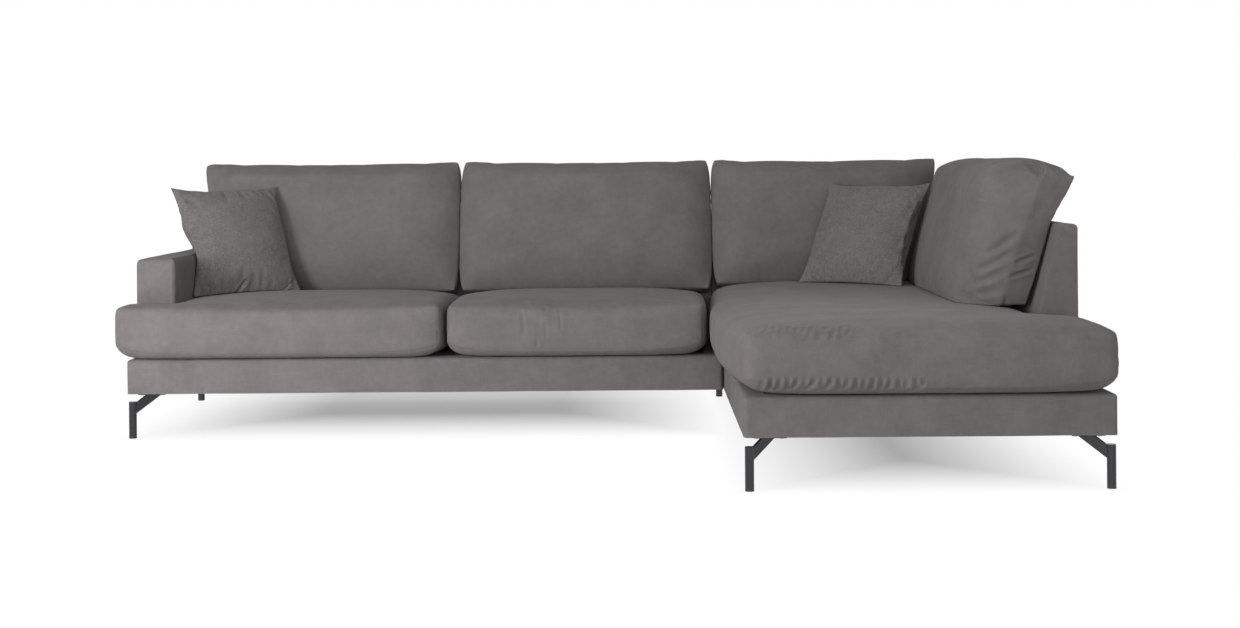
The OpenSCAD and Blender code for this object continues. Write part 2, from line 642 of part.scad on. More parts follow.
// Back cushions lean on a back's face. A cushion is [left and right at its foot, left and right at its top,
// crown, reach of the crown from its left and right ends, share of the crown at its foot, slump of its ends,
// sag of its foot], measured along the back, and stands at foot_z.
// Its own axes: u across, s up the face, n out of it.
top_dip = 14;
back_corner_in = 9;
end_reach = 150;
foot_reach = 130;
side_near_reach = 110;
side_far_reach = 420;
side_foot_share = 0.85;
sag_reach = 220;
function back_up(foot_z) = (cushion_top + base_top - foot_z - back_band * sin(rake_angle)) / cos(rake_angle);
function back_edge(foot_z) = (back_h + base_top - foot_z) / cos(rake_angle);
function crown_of_back(c, width, height, u, s) =
    rise(u * width, c[5]) * rise((1 - u) * width, c[6]) * rise(height - s, 100)
    * (c[7] + (1 - c[7]) * rise(s, foot_reach));
function back_local(c, foot_z, us, ss, k, i, j) =
    let (
        height = back_up(foot_z), h = k / (layers - 1), u = us[i], s = ss[j],
        nu = len(us) - 1, ns = len(ss) - 1,
        left = c[0] + (c[2] - c[0]) * s / height, right = c[1] + (c[3] - c[1]) * s / height,
        edge = back_edge(foot_z), ts = s / height, swell = band_swell * 0.8 * sin(90 * h),
        in_u = back_corner_in * pow(1 - mid(ts), 4) - swell * sqrt(mid(ts)),
        in_s = top_dip * mid(u) - swell * sqrt(mid(u)),
        slump = c[8] * (1 - smooth(min(u, 1 - u) / 0.2)) * smooth(ts * 2 - 1),
        over = cushion_bend * pow(max(0, s - edge) / (height - edge), 1.3),
        n = side_gap + back_band * h + foot_out * max(0, 1 - s / edge)
            + (k == layers - 1 ? (c[4] + over) * crown_of_back(c, right - left, height, u, s) : 0)
            + (k == 0 && (i == 0 || i == nu || j == 0 || j == ns) ? 4 : 0),
        sag = c[9] * n * tan(rake_angle) * (1 - smooth(s / sag_reach)))
    [left + (right - left) * u + (i == 0 ? in_u : i == nu ? -in_u : 0),
     s - (j == ns ? in_s : 0) - slump - sag, n - over];
back_us = spread(0, 1, 10);
function back_ss(foot_z) = let (height = back_up(foot_z), edge = back_edge(foot_z))
    joined(spread(0, edge, 5), spread(edge, height, 5));
// From the cushion's own axes to place: the face's foot is at depth lean_face(foot) from the outer face
function from_face(p, foot_z) =
    [p[0], lean_face(foot_z - base_top) + p[2] * cos(rake_angle) - p[1] * sin(rake_angle),
     foot_z + p[1] * cos(rake_angle) + p[2] * sin(rake_angle)];
function cushion_points(c, foot_z) = let (ss = back_ss(foot_z))
    [for (k = [0:layers - 1], i = [0:len(back_us) - 1], j = [0:len(ss) - 1])
        from_face(back_local(c, foot_z, back_us, ss, k, i, j), foot_z)];
// Points of a cushion on the main back and on the side back
function on_main_back(pts) = [for (p = pts) [p[0], sofa_d - p[1], p[2]]];
function on_side_back(pts) = [for (p = pts) [sofa_w - p[1], p[0], p[2]]];
// Height at which a cushion's lowest points just clear the seats
function settled(pts, z) = z + max([for (p = pts) on_seats(p[0], p[1]) - p[2]]) + 2 * rest_gap;
guess_z = base_top + 170;
// How far the flat facets of the chaise cushion lie below its full curve
facet_sag = 0.8;
left_end = arm_w + back_split - band_swell;
middle_start = arm_w + back_split + band_swell;
middle_end = chaise_x - band_swell;
right_start = chaise_x + band_swell;
side_start = side_back_y + side_cushion_setback;
side_end = rear_y - 2 * band_swell;
main_crown = [back_crown, end_reach, end_reach, 0, 0, 0];
back_left = concat([arm_w + from_arm, left_end, arm_w - over_arm, left_end], main_crown);
back_middle = concat([middle_start, middle_end, middle_start, middle_end], main_crown);
back_right = concat([right_start, sofa_w - back_foot_t - side_room_foot,
    right_start, sofa_w - back_top_t - side_room_top], main_crown);
side_cushion = [side_start, side_end, side_start, side_end,
    side_crown, side_near_reach, side_far_reach, side_foot_share, side_slump, 1];
left_z = settled(on_main_back(cushion_points(back_left, guess_z)), guess_z);
middle_z = settled(on_main_back(cushion_points(back_middle, guess_z)), guess_z);
right_z = settled(on_main_back(cushion_points(back_right, guess_z)), guess_z) - facet_sag;
side_z = settled(on_side_back(cushion_points(side_cushion, guess_z)), guess_z) - facet_sag;
left_points = on_main_back(cushion_points(back_left, left_z));
middle_points = on_main_back(cushion_points(back_middle, middle_z));
right_points = on_main_back(cushion_points(back_right, right_z));
side_points = on_side_back(cushion_points(side_cushion, side_z));
module back_form(pts, foot_z, turned) {
    faces = form_faces(back_us, back_ss(foot_z), layers, [0, 0, 0]);
    polyhedron(points = pts, faces = turned ? [for (f = faces) [f[0], f[2], f[1]]] : faces);
}

// Scatter pillows: square, with pointed corners, sides drawn in between them, and a knife edge
pillow_edge = 6;
pillow_layers = 2;
pillow_lines = spread(0, 1, 10);
function pillow_local(k, i, j) =
    let (u = pillow_lines[i], s = pillow_lines[j], n = len(pillow_lines) - 1, side = pillow_side,
         full = (pillow_t - pillow_edge) / 2 * pow(mid(u) * mid(s), 0.6),
         du = (i == 0 ? 1 : i == n ? -1 : 0) * pillow_draw * mid(s),
         ds = (j == 0 ? pillow_draw_low : j == n ? -pillow_draw : 0) * mid(u))
    [(u - 0.5) * side + du, s * side + ds, (k == 0 ? -1 : 1) * (pillow_edge / 2 + full)];
// Turned by turn about Z and leant back, with its lower middle at foot
function pillow_points(foot, turn, lean) =
    let (a = [cos(turn), sin(turn), 0],
         b = [-sin(lean) * sin(turn), sin(lean) * cos(turn), cos(lean)],
         c = [sin(turn) * cos(lean), -cos(turn) * cos(lean), sin(lean)],
         last = len(pillow_lines) - 1)
    [for (k = [0:pillow_layers - 1], i = [0:last], j = [0:last])
        let (p = pillow_local(k, i, j)) foot + a * p[0] + b * p[1] + c * p[2]];
// Depth at which a pillow's rearmost corner clears the back cushions, also while they are lifted off
function crown_y(z) = sofa_d - lean_face(z - base_top)
    - (side_gap + back_band + back_crown + foot_out) * slant;
function pushed_back(x, turn, lean) = let (pts = pillow_points([x, 0, guess_z], turn, lean))
    min([for (p = pts) crown_y(p[2]) - p[1]]) - 2;
function dropped(x, y, turn, lean) = let (pts = pillow_points([x, y, 0], turn, lean))
    [x, y, max([for (p = pts) on_seats(p[0], p[1]) - p[2]]) + rest_gap];
function set_down(x, turn, lean) =
    pillow_points(dropped(x, pushed_back(x, turn, lean), turn, lean), turn, lean);
// The left pillow is pressed flat where it stands beside the arm
press_over = 45;
function beside_arm(pts) = [for (p = pts)
    [p[2] < base_top + arm_h + press_over ? max(p[0], arm_w + rest_gap) : p[0], p[1], p[2]]];
pillow_left_points = beside_arm(set_down(arm_w + pillow_from_arm, pillow_turn_left, pillow_lean_left));
pillow_right_points =
    set_down(sofa_w - back_foot_t - pillow_from_side_back, -pillow_turn_right, pillow_lean_right);
module pillow_form(pts) polyhedron(points = pts,
    faces = form_faces(pillow_lines, pillow_lines, pillow_layers, [0, 0, 0]));

// The outline's box, and the move that puts its centre over the origin
all_cushions = concat(seat_points(seat_left), seat_points(seat_chaise),
    left_points, middle_points, right_points, side_points);
low_x = min([for (p = all_cushions) p[0]]);
high_x = max(sofa_w, max([for (p = all_cushions) p[0]]));
low_y = min([for (p = all_cushions) p[1]]);
high_y = max(sofa_d, max([for (p = all_cushions) p[1]]));
module placed() translate([-(low_x + high_x) / 2, -(low_y + high_y) / 2, 0]) children();

module main_long_rails() color("burlywood") difference() {
    at_main() long_rails(main_w, sofa_d);
    bolt_bores();
}
module main_cross_rails() color("burlywood") difference() {
    at_main() cross_rails(main_w, sofa_d);
    bolt_bores();
}
module main_corner_blocks() color("burlywood") difference() {
    at_main() blocks(main_blocks);
    screw_bores();
    join_bores();
}
module main_springs() color("silver") at_main() springs(main_w, sofa_d);
module main_spring_clips() color("white") at_main() spring_clips(main_w, sofa_d);
module main_deck_pad() color("lightgray") difference() {
    at_main() deck_pad(main_w, sofa_d);
    bolt_bores();
}
module main_deck_cloth() color("dimgray") at_main() deck_cloth(main_w, sofa_d);
module main_base_padding() color("beige") at_main() base_padding(main_w, sofa_d);
module main_base_cover() color("gray") difference() {
    at_main() base_cover(main_w, sofa_d);
    bolt_bores();
}
module main_dust_cover() color("black") at_main() dust_cover(main_w, sofa_d, main_blocks);

module chaise_long_rails() color("burlywood") difference() {
    at_chaise() long_rails(chaise_l, chaise_base_w);
    bolt_bores();
}
module chaise_cross_rails() color("burlywood") difference() {
    at_chaise() cross_rails(chaise_l, chaise_base_w);
    bolt_bores();
}
module chaise_corner_blocks() color("burlywood") difference() {
    at_chaise() blocks(chaise_blocks);
    screw_bores();
    join_bores();
}
module chaise_springs() color("silver") at_chaise() springs(chaise_l, chaise_base_w);
module chaise_spring_clips() color("white") at_chaise() spring_clips(chaise_l, chaise_base_w);
module chaise_deck_pad() color("lightgray") difference() {
    at_chaise() deck_pad(chaise_l, chaise_base_w);
    bolt_bores();
}
module chaise_deck_cloth() color("dimgray") at_chaise() deck_cloth(chaise_l, chaise_base_w);
module chaise_base_padding() color("beige") at_chaise() base_padding(chaise_l, chaise_base_w);
module chaise_base_cover() color("gray") difference() {
    at_chaise() base_cover(chaise_l, chaise_base_w);
    bolt_bores();
}
module chaise_dust_cover() color("black") at_chaise() dust_cover(chaise_l, chaise_base_w, chaise_blocks);

module main_back_frame() color("burlywood") difference() {
    at_main_back() back_frame(main_w, 4);
    bolt_bores();
}
module main_back_straps() color("darkkhaki") at_main_back() back_straps(main_w);
module main_back_padding() color("beige") at_main_back() back_padding(main_w);
module main_back_cover() color("gray") difference() {
    at_main_back() back_cover(main_w);
    bolt_bores();
}
module chaise_back_frame() color("burlywood") difference() {
    at_chaise_back() back_frame(chaise_back_l, 2);
    bolt_bores();
}
module chaise_back_straps() color("darkkhaki") at_chaise_back() back_straps(chaise_back_l);
module chaise_back_padding() color("beige") at_chaise_back() back_padding(chaise_back_l);
module chaise_back_cover() color("gray") difference() {
    at_chaise_back() back_cover(chaise_back_l);
    bolt_bores();
}
// The side back runs up to the leaning face of the chaise's back
module side_back_frame() color("burlywood") difference() {
    intersection() {
        at_side_back() back_frame(side_back_l, 3);
        front_of_back(core_outer);
    }
    bolt_bores();
}
module side_back_straps() color("darkkhaki") intersection() {
    at_side_back() back_straps(side_back_l);
    front_of_back(core_outer);
}
module side_back_padding() color("beige") difference() {
    intersection() {
        at_side_back() back_skin(side_back_l, fabric_t, fabric_t);
        front_of_back(fabric_t);
    }
    intersection() {
        at_side_back() back_hollow(side_back_l, core_lean - strap_t);
        front_of_back(core_outer);
    }
}
module side_back_cover() color("gray") difference() {
    intersection() {
        at_side_back() back_body(side_back_l, 0, 0, 0, 0, 0, edge_r);
        front_of_back(0);
    }
    intersection() {
        at_side_back() back_skin(side_back_l, fabric_t, fabric_t);
        front_of_back(fabric_t);
    }
    bolt_bores();
}

module seat_cushion_left() color("gray") seat_form(seat_left);
module seat_cushion_middle() color("gray") seat_form(seat_middle);
module seat_cushion_chaise() color("gray") seat_form(seat_chaise);
module back_cushion_left() color("gray") back_form(left_points, left_z, false);
module back_cushion_middle() color("gray") back_form(middle_points, middle_z, false);
module back_cushion_right() color("gray") back_form(right_points, right_z, false);
module side_back_cushion() color("gray") back_form(side_points, side_z, true);
module pillow_left() color("gray") pillow_form(pillow_left_points);
module pillow_right() color("gray") pillow_form(pillow_right_points);

placed() {
    leg_tubes();
    leg_caps();
    leg_glides();
    leg_bars();
    leg_plates();
    leg_screws();
    main_long_rails();
    main_cross_rails();
    main_corner_blocks();
    main_springs();
    main_spring_clips();
    main_deck_pad();
    main_deck_cloth();
    main_base_padding();
    main_base_cover();
    main_dust_cover();
    chaise_long_rails();
    chaise_cross_rails();
    chaise_corner_blocks();
    chaise_springs();
    chaise_spring_clips();
    chaise_deck_pad();
    chaise_deck_cloth();
    chaise_base_padding();
    chaise_base_cover();
    chaise_dust_cover();
    joining_plates();
    joining_screws();
    frame_bolts();
    frame_nuts();
    arm_frame();
    arm_boards();
    arm_padding();
    arm_cover();
    main_back_frame();
    main_back_straps();
    main_back_padding();
    main_back_cover();
    chaise_back_frame();
    chaise_back_straps();
    chaise_back_padding();
    chaise_back_cover();
    side_back_frame();
    side_back_straps();
    side_back_padding();
    side_back_cover();
    seat_cushion_left();
    seat_cushion_middle();
    seat_cushion_chaise();
    back_cushion_left();
    back_cushion_middle();
    back_cushion_right();
    side_back_cushion();
    pillow_left();
    pillow_right();
}
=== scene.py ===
# %% [markdown]
# # Corner sofa
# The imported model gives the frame: bases, arm, backs and legs, each with its real size and place. This
# lesson dresses it. The loose cushions and the pillows become padded cloth, grown from the packed
# solids, and every surface gets a material made of nodes. Lengths are in metres, +Z is up, and the
# seats face -Y.

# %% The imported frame
import json
import math

import bmesh
import bpy
import numpy as np
from mathutils import Matrix, Vector, noise
from mathutils.bvhtree import BVHTree
from mathutils.kdtree import KDTree


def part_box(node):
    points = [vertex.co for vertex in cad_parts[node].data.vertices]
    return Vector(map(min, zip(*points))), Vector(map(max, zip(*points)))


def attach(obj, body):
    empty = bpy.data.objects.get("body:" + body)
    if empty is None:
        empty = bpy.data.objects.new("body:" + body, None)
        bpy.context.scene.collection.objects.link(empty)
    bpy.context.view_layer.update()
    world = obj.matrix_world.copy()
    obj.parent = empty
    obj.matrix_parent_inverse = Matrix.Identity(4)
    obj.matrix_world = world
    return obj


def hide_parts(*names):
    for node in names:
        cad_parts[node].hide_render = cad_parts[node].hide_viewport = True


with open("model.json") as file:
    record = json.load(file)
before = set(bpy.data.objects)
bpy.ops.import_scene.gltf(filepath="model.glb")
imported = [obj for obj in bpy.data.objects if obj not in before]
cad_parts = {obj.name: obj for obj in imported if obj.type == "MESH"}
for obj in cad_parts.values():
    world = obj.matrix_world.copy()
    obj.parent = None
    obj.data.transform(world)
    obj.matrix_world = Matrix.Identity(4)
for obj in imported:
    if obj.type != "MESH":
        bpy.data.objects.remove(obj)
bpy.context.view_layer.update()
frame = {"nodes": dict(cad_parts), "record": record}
nodes = frame["nodes"]
body_of = {n: b for b, members in frame["record"]["behaviour"]["bodies"].items() for n in members}
slot_of = {s["node"]: s["material_slot"] for s in frame["record"]["subparts"]}
scene = bpy.context.scene
print(len(nodes), "packed pieces")

# %% [markdown]
# ## Camera
# The photograph was taken from well in front, a little right of the middle, at about the height of the
# cushions' tops. The camera looks level along +Y, and the picture is a crop, so the lens is shifted.

# %% The camera
photo_w, photo_h = 1240, 628
focal_px = 1757.8  # the focal length in the photograph's pixels
centre_px = (631.5, 161.4)  # where the camera's axis meets the photograph
roll = 0.0078  # the horizon's small tilt, in radians
eye = Vector((0.1766, -5.7166, 0.895))
sensor_width = 36
view_reach = 60  # how far the camera sees

camera_data = bpy.data.cameras.new("camera")
camera_data.sensor_width = sensor_width
camera_data.lens = focal_px / photo_w * sensor_width
camera_data.shift_x = (photo_w / 2 - centre_px[0]) / photo_w
camera_data.shift_y = (centre_px[1] - photo_h / 2) / photo_w
camera_data.clip_end = view_reach
camera = bpy.data.objects.new("camera", camera_data)
camera.matrix_world = (Matrix.Translation(eye) @ Matrix.Rotation(math.pi / 2, 4, "X")
                       @ Matrix.Rotation(-roll, 4, "Z"))
scene.collection.objects.link(camera)
scene.camera = camera
print("lens", round(camera_data.lens, 1), "mm")

# %% [markdown]
# ## Floor, background and lights
# The floor and the background are white to the camera and in the metal's reflections only, so that they throw
# no extra light on the fabric. A pale floor in plain light would come out grey. More light would make it
# white, but would also wash out the sofa. Under and behind the bases the floor's glow fades out. That paints
# the sofa's shadow there, on top of the real shadow that the lamps cast.

# %% Materials made of nodes
def node_material(name):
    """A new material, with short ways to add and link nodes."""
    material = bpy.data.materials.new(name)
    material.use_nodes = True
    tree = material.node_tree
    tree.nodes.clear()

    def add(kind, **values):
        node = tree.nodes.new(kind)
        for key, value in values.items():
            if key in node.inputs:
                node.inputs[key].default_value = value
            else:
                setattr(node, key, value)
        return node
    return material, add, tree.links.new


def link_material(obj, material):
    obj.data.materials.clear()
    obj.data.materials.append(material)


def sight_rays(tree):
    """One for rays that show the background: the camera's, and those in metal and glass."""
    path = tree.nodes.new("ShaderNodeLightPath")
    shown = path.outputs["Is Camera Ray"]
    for kind in ("Is Glossy Ray", "Is Transmission Ray"):
        either = tree.nodes.new("ShaderNodeMath")
        either.operation = "MAXIMUM"
        tree.links.new(shown, either.inputs[0])
        tree.links.new(path.outputs[kind], either.inputs[1])
        shown = either.outputs[0]
    return shown


# %% The floor
floor_size = 60
floor_lift = 0.3  # how far the camera's floor is lifted towards white where it is lifted least, deep in the painted shadow under and behind the bases
painted_shadow_inside, painted_shadow_outside = -0.55, 0.05  # the painted shadow fades and the lift grows from the first distance to the second
floor_dark, floor_light = 0.86, 0.88
painted_shadow_behind = Vector((0, 0.7, 0))  # the painted shadow also reaches this far to the rear
floor_mesh = bpy.data.meshes.new("floor")
half = floor_size / 2
corners = [(-half, -half, 0), (half, -half, 0), (half, half, 0), (-half, half, 0)]
floor_mesh.from_pydata(corners, [], [(0, 1, 2, 3)])
floor = bpy.data.objects.new("floor", floor_mesh)
scene.collection.objects.link(floor)
material, add, link = node_material("pale_floor")
spots = add("ShaderNodeTexNoise", Scale=3.0, Detail=4.0)
ramp = add("ShaderNodeMapRange", **{"To Min": floor_dark, "To Max": floor_light})
place = add("ShaderNodeTexCoord")


def depth_outside(box):
    """How far a floor point lies outside the upright walls of a box, below zero inside them."""
    low, high = box[0], Vector(box[1]) + painted_shadow_behind
    centre = [(l + h) / 2 for l, h in zip(low, high)]
    reach = [(h - l) / 2 for l, h in zip(low, high)]
    moved = add("ShaderNodeVectorMath", operation="SUBTRACT")
    moved.inputs[1].default_value = centre
    folded = add("ShaderNodeVectorMath", operation="ABSOLUTE")
    past = add("ShaderNodeVectorMath", operation="SUBTRACT")
    past.inputs[1].default_value = reach
    parts = add("ShaderNodeSeparateXYZ")
    largest = add("ShaderNodeMath", operation="MAXIMUM")
    link(place.outputs["Object"], moved.inputs[0])
    link(moved.outputs["Vector"], folded.inputs[0])
    link(folded.outputs["Vector"], past.inputs[0])
    link(past.outputs["Vector"], parts.inputs["Vector"])
    link(parts.outputs["X"], largest.inputs[0])
    link(parts.outputs["Y"], largest.inputs[1])
    return largest.outputs[0]


# Painted shadow: near the bases' footprints the floor's glow is cut back, so the floor is darker there than
# the lamps' shadow alone makes it.
nearest = add("ShaderNodeMath", operation="MINIMUM")
link(depth_outside(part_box("main_base_cover")), nearest.inputs[0])
link(depth_outside(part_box("chaise_base_cover")), nearest.inputs[1])
fade = add("ShaderNodeMapRange", **{"From Min": painted_shadow_inside, "From Max": painted_shadow_outside,
                                    "To Min": floor_lift, "To Max": 1.0})
link(nearest.outputs[0], fade.inputs["Value"])
paint = add("ShaderNodeBsdfPrincipled", Roughness=0.55)
out = add("ShaderNodeOutputMaterial")
colour = add("ShaderNodeCombineColor")
link(spots.outputs["Fac"], ramp.inputs["Value"])
for channel in ("Red", "Green", "Blue"):
    link(ramp.outputs["Result"], colour.inputs[channel])
link(colour.outputs["Color"], paint.inputs["Base Color"])
glow = add("ShaderNodeEmission", Color=(1, 1, 1, 1), Strength=1.0)
share = add("ShaderNodeMath", operation="MULTIPLY")
link(fade.outputs["Result"], share.inputs[1])
mix = add("ShaderNodeMixShader")
link(sight_rays(material.node_tree), share.inputs[0])
link(share.outputs[0], mix.inputs["Fac"])
link(paint.outputs["BSDF"], mix.inputs[1])
link(glow.outputs["Emission"], mix.inputs[2])
link(mix.outputs["Shader"], out.inputs["Surface"])
link_material(floor, material)
print("floor", floor_size, "m wide")

# %% [markdown]
# ## Soft light and lamps
# Most of a studio's light is soft and comes from round about, so the world gives it, stronger from the
# horizon than from above. A lamp on the left, a wide one in front and a narrow one above the chaise
# give the fabric the photograph's lights and darks. An environment picture could do the same, but nodes
# keep each light's strength plain.

# %% The world
horizon_light = 0.72
zenith_light = 0.42
world = bpy.data.worlds.new("studio")
scene.world = world
world.use_nodes = True
tree = world.node_tree
tree.nodes.clear()
seen = tree.nodes.new("ShaderNodeBackground")
seen.inputs["Color"].default_value = (1, 1, 1, 1)
seen.inputs["Strength"].default_value = 1.0
soft_light = tree.nodes.new("ShaderNodeBackground")
soft_light.inputs["Color"].default_value = (1, 1, 1, 1)
overhead = tree.nodes.new("ShaderNodeMapRange")
overhead.inputs["To Min"].default_value = horizon_light
overhead.inputs["To Max"].default_value = zenith_light
direction = tree.nodes.new("ShaderNodeTexCoord")
parts = tree.nodes.new("ShaderNodeSeparateXYZ")
tree.links.new(direction.outputs["Generated"], parts.inputs["Vector"])
tree.links.new(parts.outputs["Z"], overhead.inputs["Value"])
tree.links.new(overhead.outputs["Result"], soft_light.inputs["Strength"])
mix = tree.nodes.new("ShaderNodeMixShader")
out = tree.nodes.new("ShaderNodeOutputWorld")
tree.links.new(sight_rays(tree), mix.inputs["Fac"])
tree.links.new(soft_light.outputs["Background"], mix.inputs[1])
tree.links.new(seen.outputs["Background"], mix.inputs[2])
tree.links.new(mix.outputs["Shader"], out.inputs["Surface"])


# %% The lamps
def area_light(name, place, target, size, watts, spread=180):
    """A rectangular lamp that faces its target; spread is the angle of its cone in degrees."""
    data = bpy.data.lights.new(name, "AREA")
    data.spread = math.radians(spread)
    data.shape = "RECTANGLE"
    data.size, data.size_y = size
    data.energy = watts
    light = bpy.data.objects.new(name, data)
    light.location = place
    light.rotation_euler = (Vector(target) - Vector(place)).to_track_quat("-Z", "Y").to_euler()
    scene.collection.objects.link(light)
    print(name, "lamp,", watts, "W")


area_light("key", place=(-2.3, -2.3, 1.0), target=(-1.0, 0.2, 0.35), size=(1.0, 1.0), watts=64)
area_light("front", place=(0.0, -9.0, 1.6), target=(0.2, 0, 0.45), size=(4.0, 2.0), watts=138)
area_light("chaise", place=(0.85, -0.7, 2.4), target=(0.85, -0.7, 0.4), size=(0.8, 0.6), watts=1.6, spread=60)
scene.view_settings.view_transform = "Standard"

# %% [markdown]
# ## Fabric
# A soft velour: short pile that catches light at its edges, broad lighter and darker patches where the
# pile lies differently, thin slubs that run across and up, and a fine weave. A picture of cloth could
# be wrapped round each cushion, but it would need a flat cutting pattern. Noise in the object's own
# space needs none and has no seams.

# %% Fabric
thread_scale = 60
along_thread, across_thread = 0.35, 6  # the noise is stretched along each thread and squeezed across it
broad_patch_scale, small_patch_scale, small_patch_share = 9, 50, 0.6
middle_threads, middle_patches, middle_tone = 0.6, 0.8, 1.08  # the noises' middles leave the colour as it is
contrast = 3  # from a share of slubs or patches to a share of brightness
grain_shade = 0.18
grain_relief = 0.5
weave_height = 0.0012
pile_roughness, pile_tint = 0.45, (0.9, 0.88, 0.86, 1)


def fabric(name, colour, slub=0.13, patch=0.13, weave=0.0011, sheen=0.08, rough=0.95, bump=0.2, ribs=0.3):
    """Velour: slub and patch are shares of brightness, weave is the width of one thread."""
    material, add, link = node_material(name)
    place = add("ShaderNodeTexCoord")

    def noise_at(scale, detail, stretch=(1, 1, 1)):
        mapping = add("ShaderNodeMapping", Scale=stretch)
        spots = add("ShaderNodeTexNoise", Scale=scale, Detail=detail)
        link(place.outputs["Object"], mapping.inputs["Vector"])
        link(mapping.outputs["Vector"], spots.inputs["Vector"])
        return spots.outputs["Fac"]

    def math_node(operation, a, b):
        node = add("ShaderNodeMath", operation=operation)
        for socket, value in zip(node.inputs, (a, b)):
            if isinstance(value, (int, float)):
                socket.default_value = value
            else:
                link(value, socket)
        return node.outputs[0]

    across = noise_at(thread_scale, 2, (along_thread, across_thread, across_thread))
    upward = noise_at(thread_scale, 2, (across_thread, across_thread, along_thread))
    depth = noise_at(thread_scale, 2, (across_thread, along_thread, across_thread))
    threads = math_node("MAXIMUM", math_node("MAXIMUM", across, upward), depth)
    small_patches = math_node("MULTIPLY", noise_at(small_patch_scale, 4), small_patch_share)
    patches = math_node("ADD", noise_at(broad_patch_scale, 3), small_patches)
    grains = add("ShaderNodeTexVoronoi", Scale=1 / weave)
    link(place.outputs["Object"], grains.inputs["Vector"])
    slubs = math_node("MULTIPLY", math_node("SUBTRACT", threads, middle_threads), slub * contrast)
    clouds = math_node("MULTIPLY", math_node("SUBTRACT", patches, middle_patches), patch * contrast)
    tone = math_node("ADD", slubs, clouds)
    tone = math_node("ADD", tone, math_node("MULTIPLY", grains.outputs["Distance"], -grain_shade))
    tone = math_node("ADD", tone, middle_tone)
    tint = add("ShaderNodeVectorMath", operation="SCALE")
    tint.inputs[0].default_value = colour
    link(tone, tint.inputs["Scale"])
    height = math_node("ADD", math_node("MULTIPLY", grains.outputs["Distance"], -grain_relief),
                       math_node("MULTIPLY", threads, ribs))
    raised = add("ShaderNodeBump", Strength=bump, Distance=weave_height)
    link(height, raised.inputs["Height"])
    cloth = add("ShaderNodeBsdfPrincipled", Roughness=rough)
    cloth.inputs["Sheen Weight"].default_value = sheen
    cloth.inputs["Sheen Roughness"].default_value = pile_roughness
    cloth.inputs["Sheen Tint"].default_value = pile_tint
    cloth.inputs["Specular IOR Level"].default_value = 0.0
    out = add("ShaderNodeOutputMaterial")
    link(tint.outputs[0], cloth.inputs["Base Color"])
    link(raised.outputs["Normal"], cloth.inputs["Normal"])
    link(cloth.outputs["BSDF"], out.inputs["Surface"])
    return material


# %% [markdown]
# ## Metal, timber and plastic
# The legs are steel tube under a thin dark finish, so they are metal all through and a little uneven in
# gloss. The frame's beech shows rings in its colour and fibres in its relief. The glides and the spring
# clips are moulded plastic with a fine grain. Each could be one flat colour, but close up none of the
# real ones is.

# %% Metal
brush_scale, brush_squeeze = 90, 14  # fine rings round the tubes
brush_dark, brush_light = 0.85, 1.15


def metal(name, colour, rough, scratch=0.08):
    """Turned metal whose roughness varies by scratch either way."""
    material, add, link = node_material(name)
    place = add("ShaderNodeTexCoord")
    mapping = add("ShaderNodeMapping", Scale=(1, 1, brush_squeeze))
    lines = add("ShaderNodeTexNoise", Scale=brush_scale, Detail=3.0)
    rough_range = add("ShaderNodeMapRange", **{"To Min": rough - scratch, "To Max": rough + scratch})
    tone = add("ShaderNodeMapRange", **{"To Min": brush_dark, "To Max": brush_light})
    tint = add("ShaderNodeVectorMath", operation="SCALE")
    tint.inputs[0].default_value = colour
    steel = add("ShaderNodeBsdfPrincipled", Metallic=1.0)
    out = add("ShaderNodeOutputMaterial")
    link(place.outputs["Object"], mapping.inputs["Vector"])
    link(mapping.outputs["Vector"], lines.inputs["Vector"])
    link(lines.outputs["Fac"], rough_range.inputs["Value"])
    link(lines.outputs["Fac"], tone.inputs["Value"])
    link(tone.outputs["Result"], tint.inputs["Scale"])
    link(rough_range.outputs["Result"], steel.inputs["Roughness"])
    link(tint.outputs[0], steel.inputs["Base Color"])
    link(steel.outputs["BSDF"], out.inputs["Surface"])
    return material


# %% Timber
ring_scale, ring_dark, ring_light = 18, 0.8, 1.15
fibre_scale, fibre_strength, fibre_height = 120, 0.2, 0.001


def timber(name, colour):
    material, add, link = node_material(name)
    place = add("ShaderNodeTexCoord")
    rings = add("ShaderNodeTexWave", Scale=ring_scale, Distortion=6.0, Detail=3.0)
    fibres = add("ShaderNodeTexNoise", Scale=fibre_scale, Detail=4.0)
    tone = add("ShaderNodeMapRange", **{"To Min": ring_dark, "To Max": ring_light})
    tint = add("ShaderNodeVectorMath", operation="SCALE")
    tint.inputs[0].default_value = colour
    raised = add("ShaderNodeBump", Strength=fibre_strength, Distance=fibre_height)
    wood = add("ShaderNodeBsdfPrincipled", Roughness=0.7)
    out = add("ShaderNodeOutputMaterial")
    link(place.outputs["Object"], rings.inputs["Vector"])
    link(place.outputs["Object"], fibres.inputs["Vector"])
    link(rings.outputs["Fac"], tone.inputs["Value"])
    link(tone.outputs["Result"], tint.inputs["Scale"])
    link(fibres.outputs["Fac"], raised.inputs["Height"])
    link(tint.outputs[0], wood.inputs["Base Color"])
    link(raised.outputs["Normal"], wood.inputs["Normal"])
    link(wood.outputs["BSDF"], out.inputs["Surface"])
    return material


# %% Plastic
mould_grain_scale, mould_dark, mould_light = 700, 0.92, 1.08
mould_strength, mould_height = 0.15, 0.0005


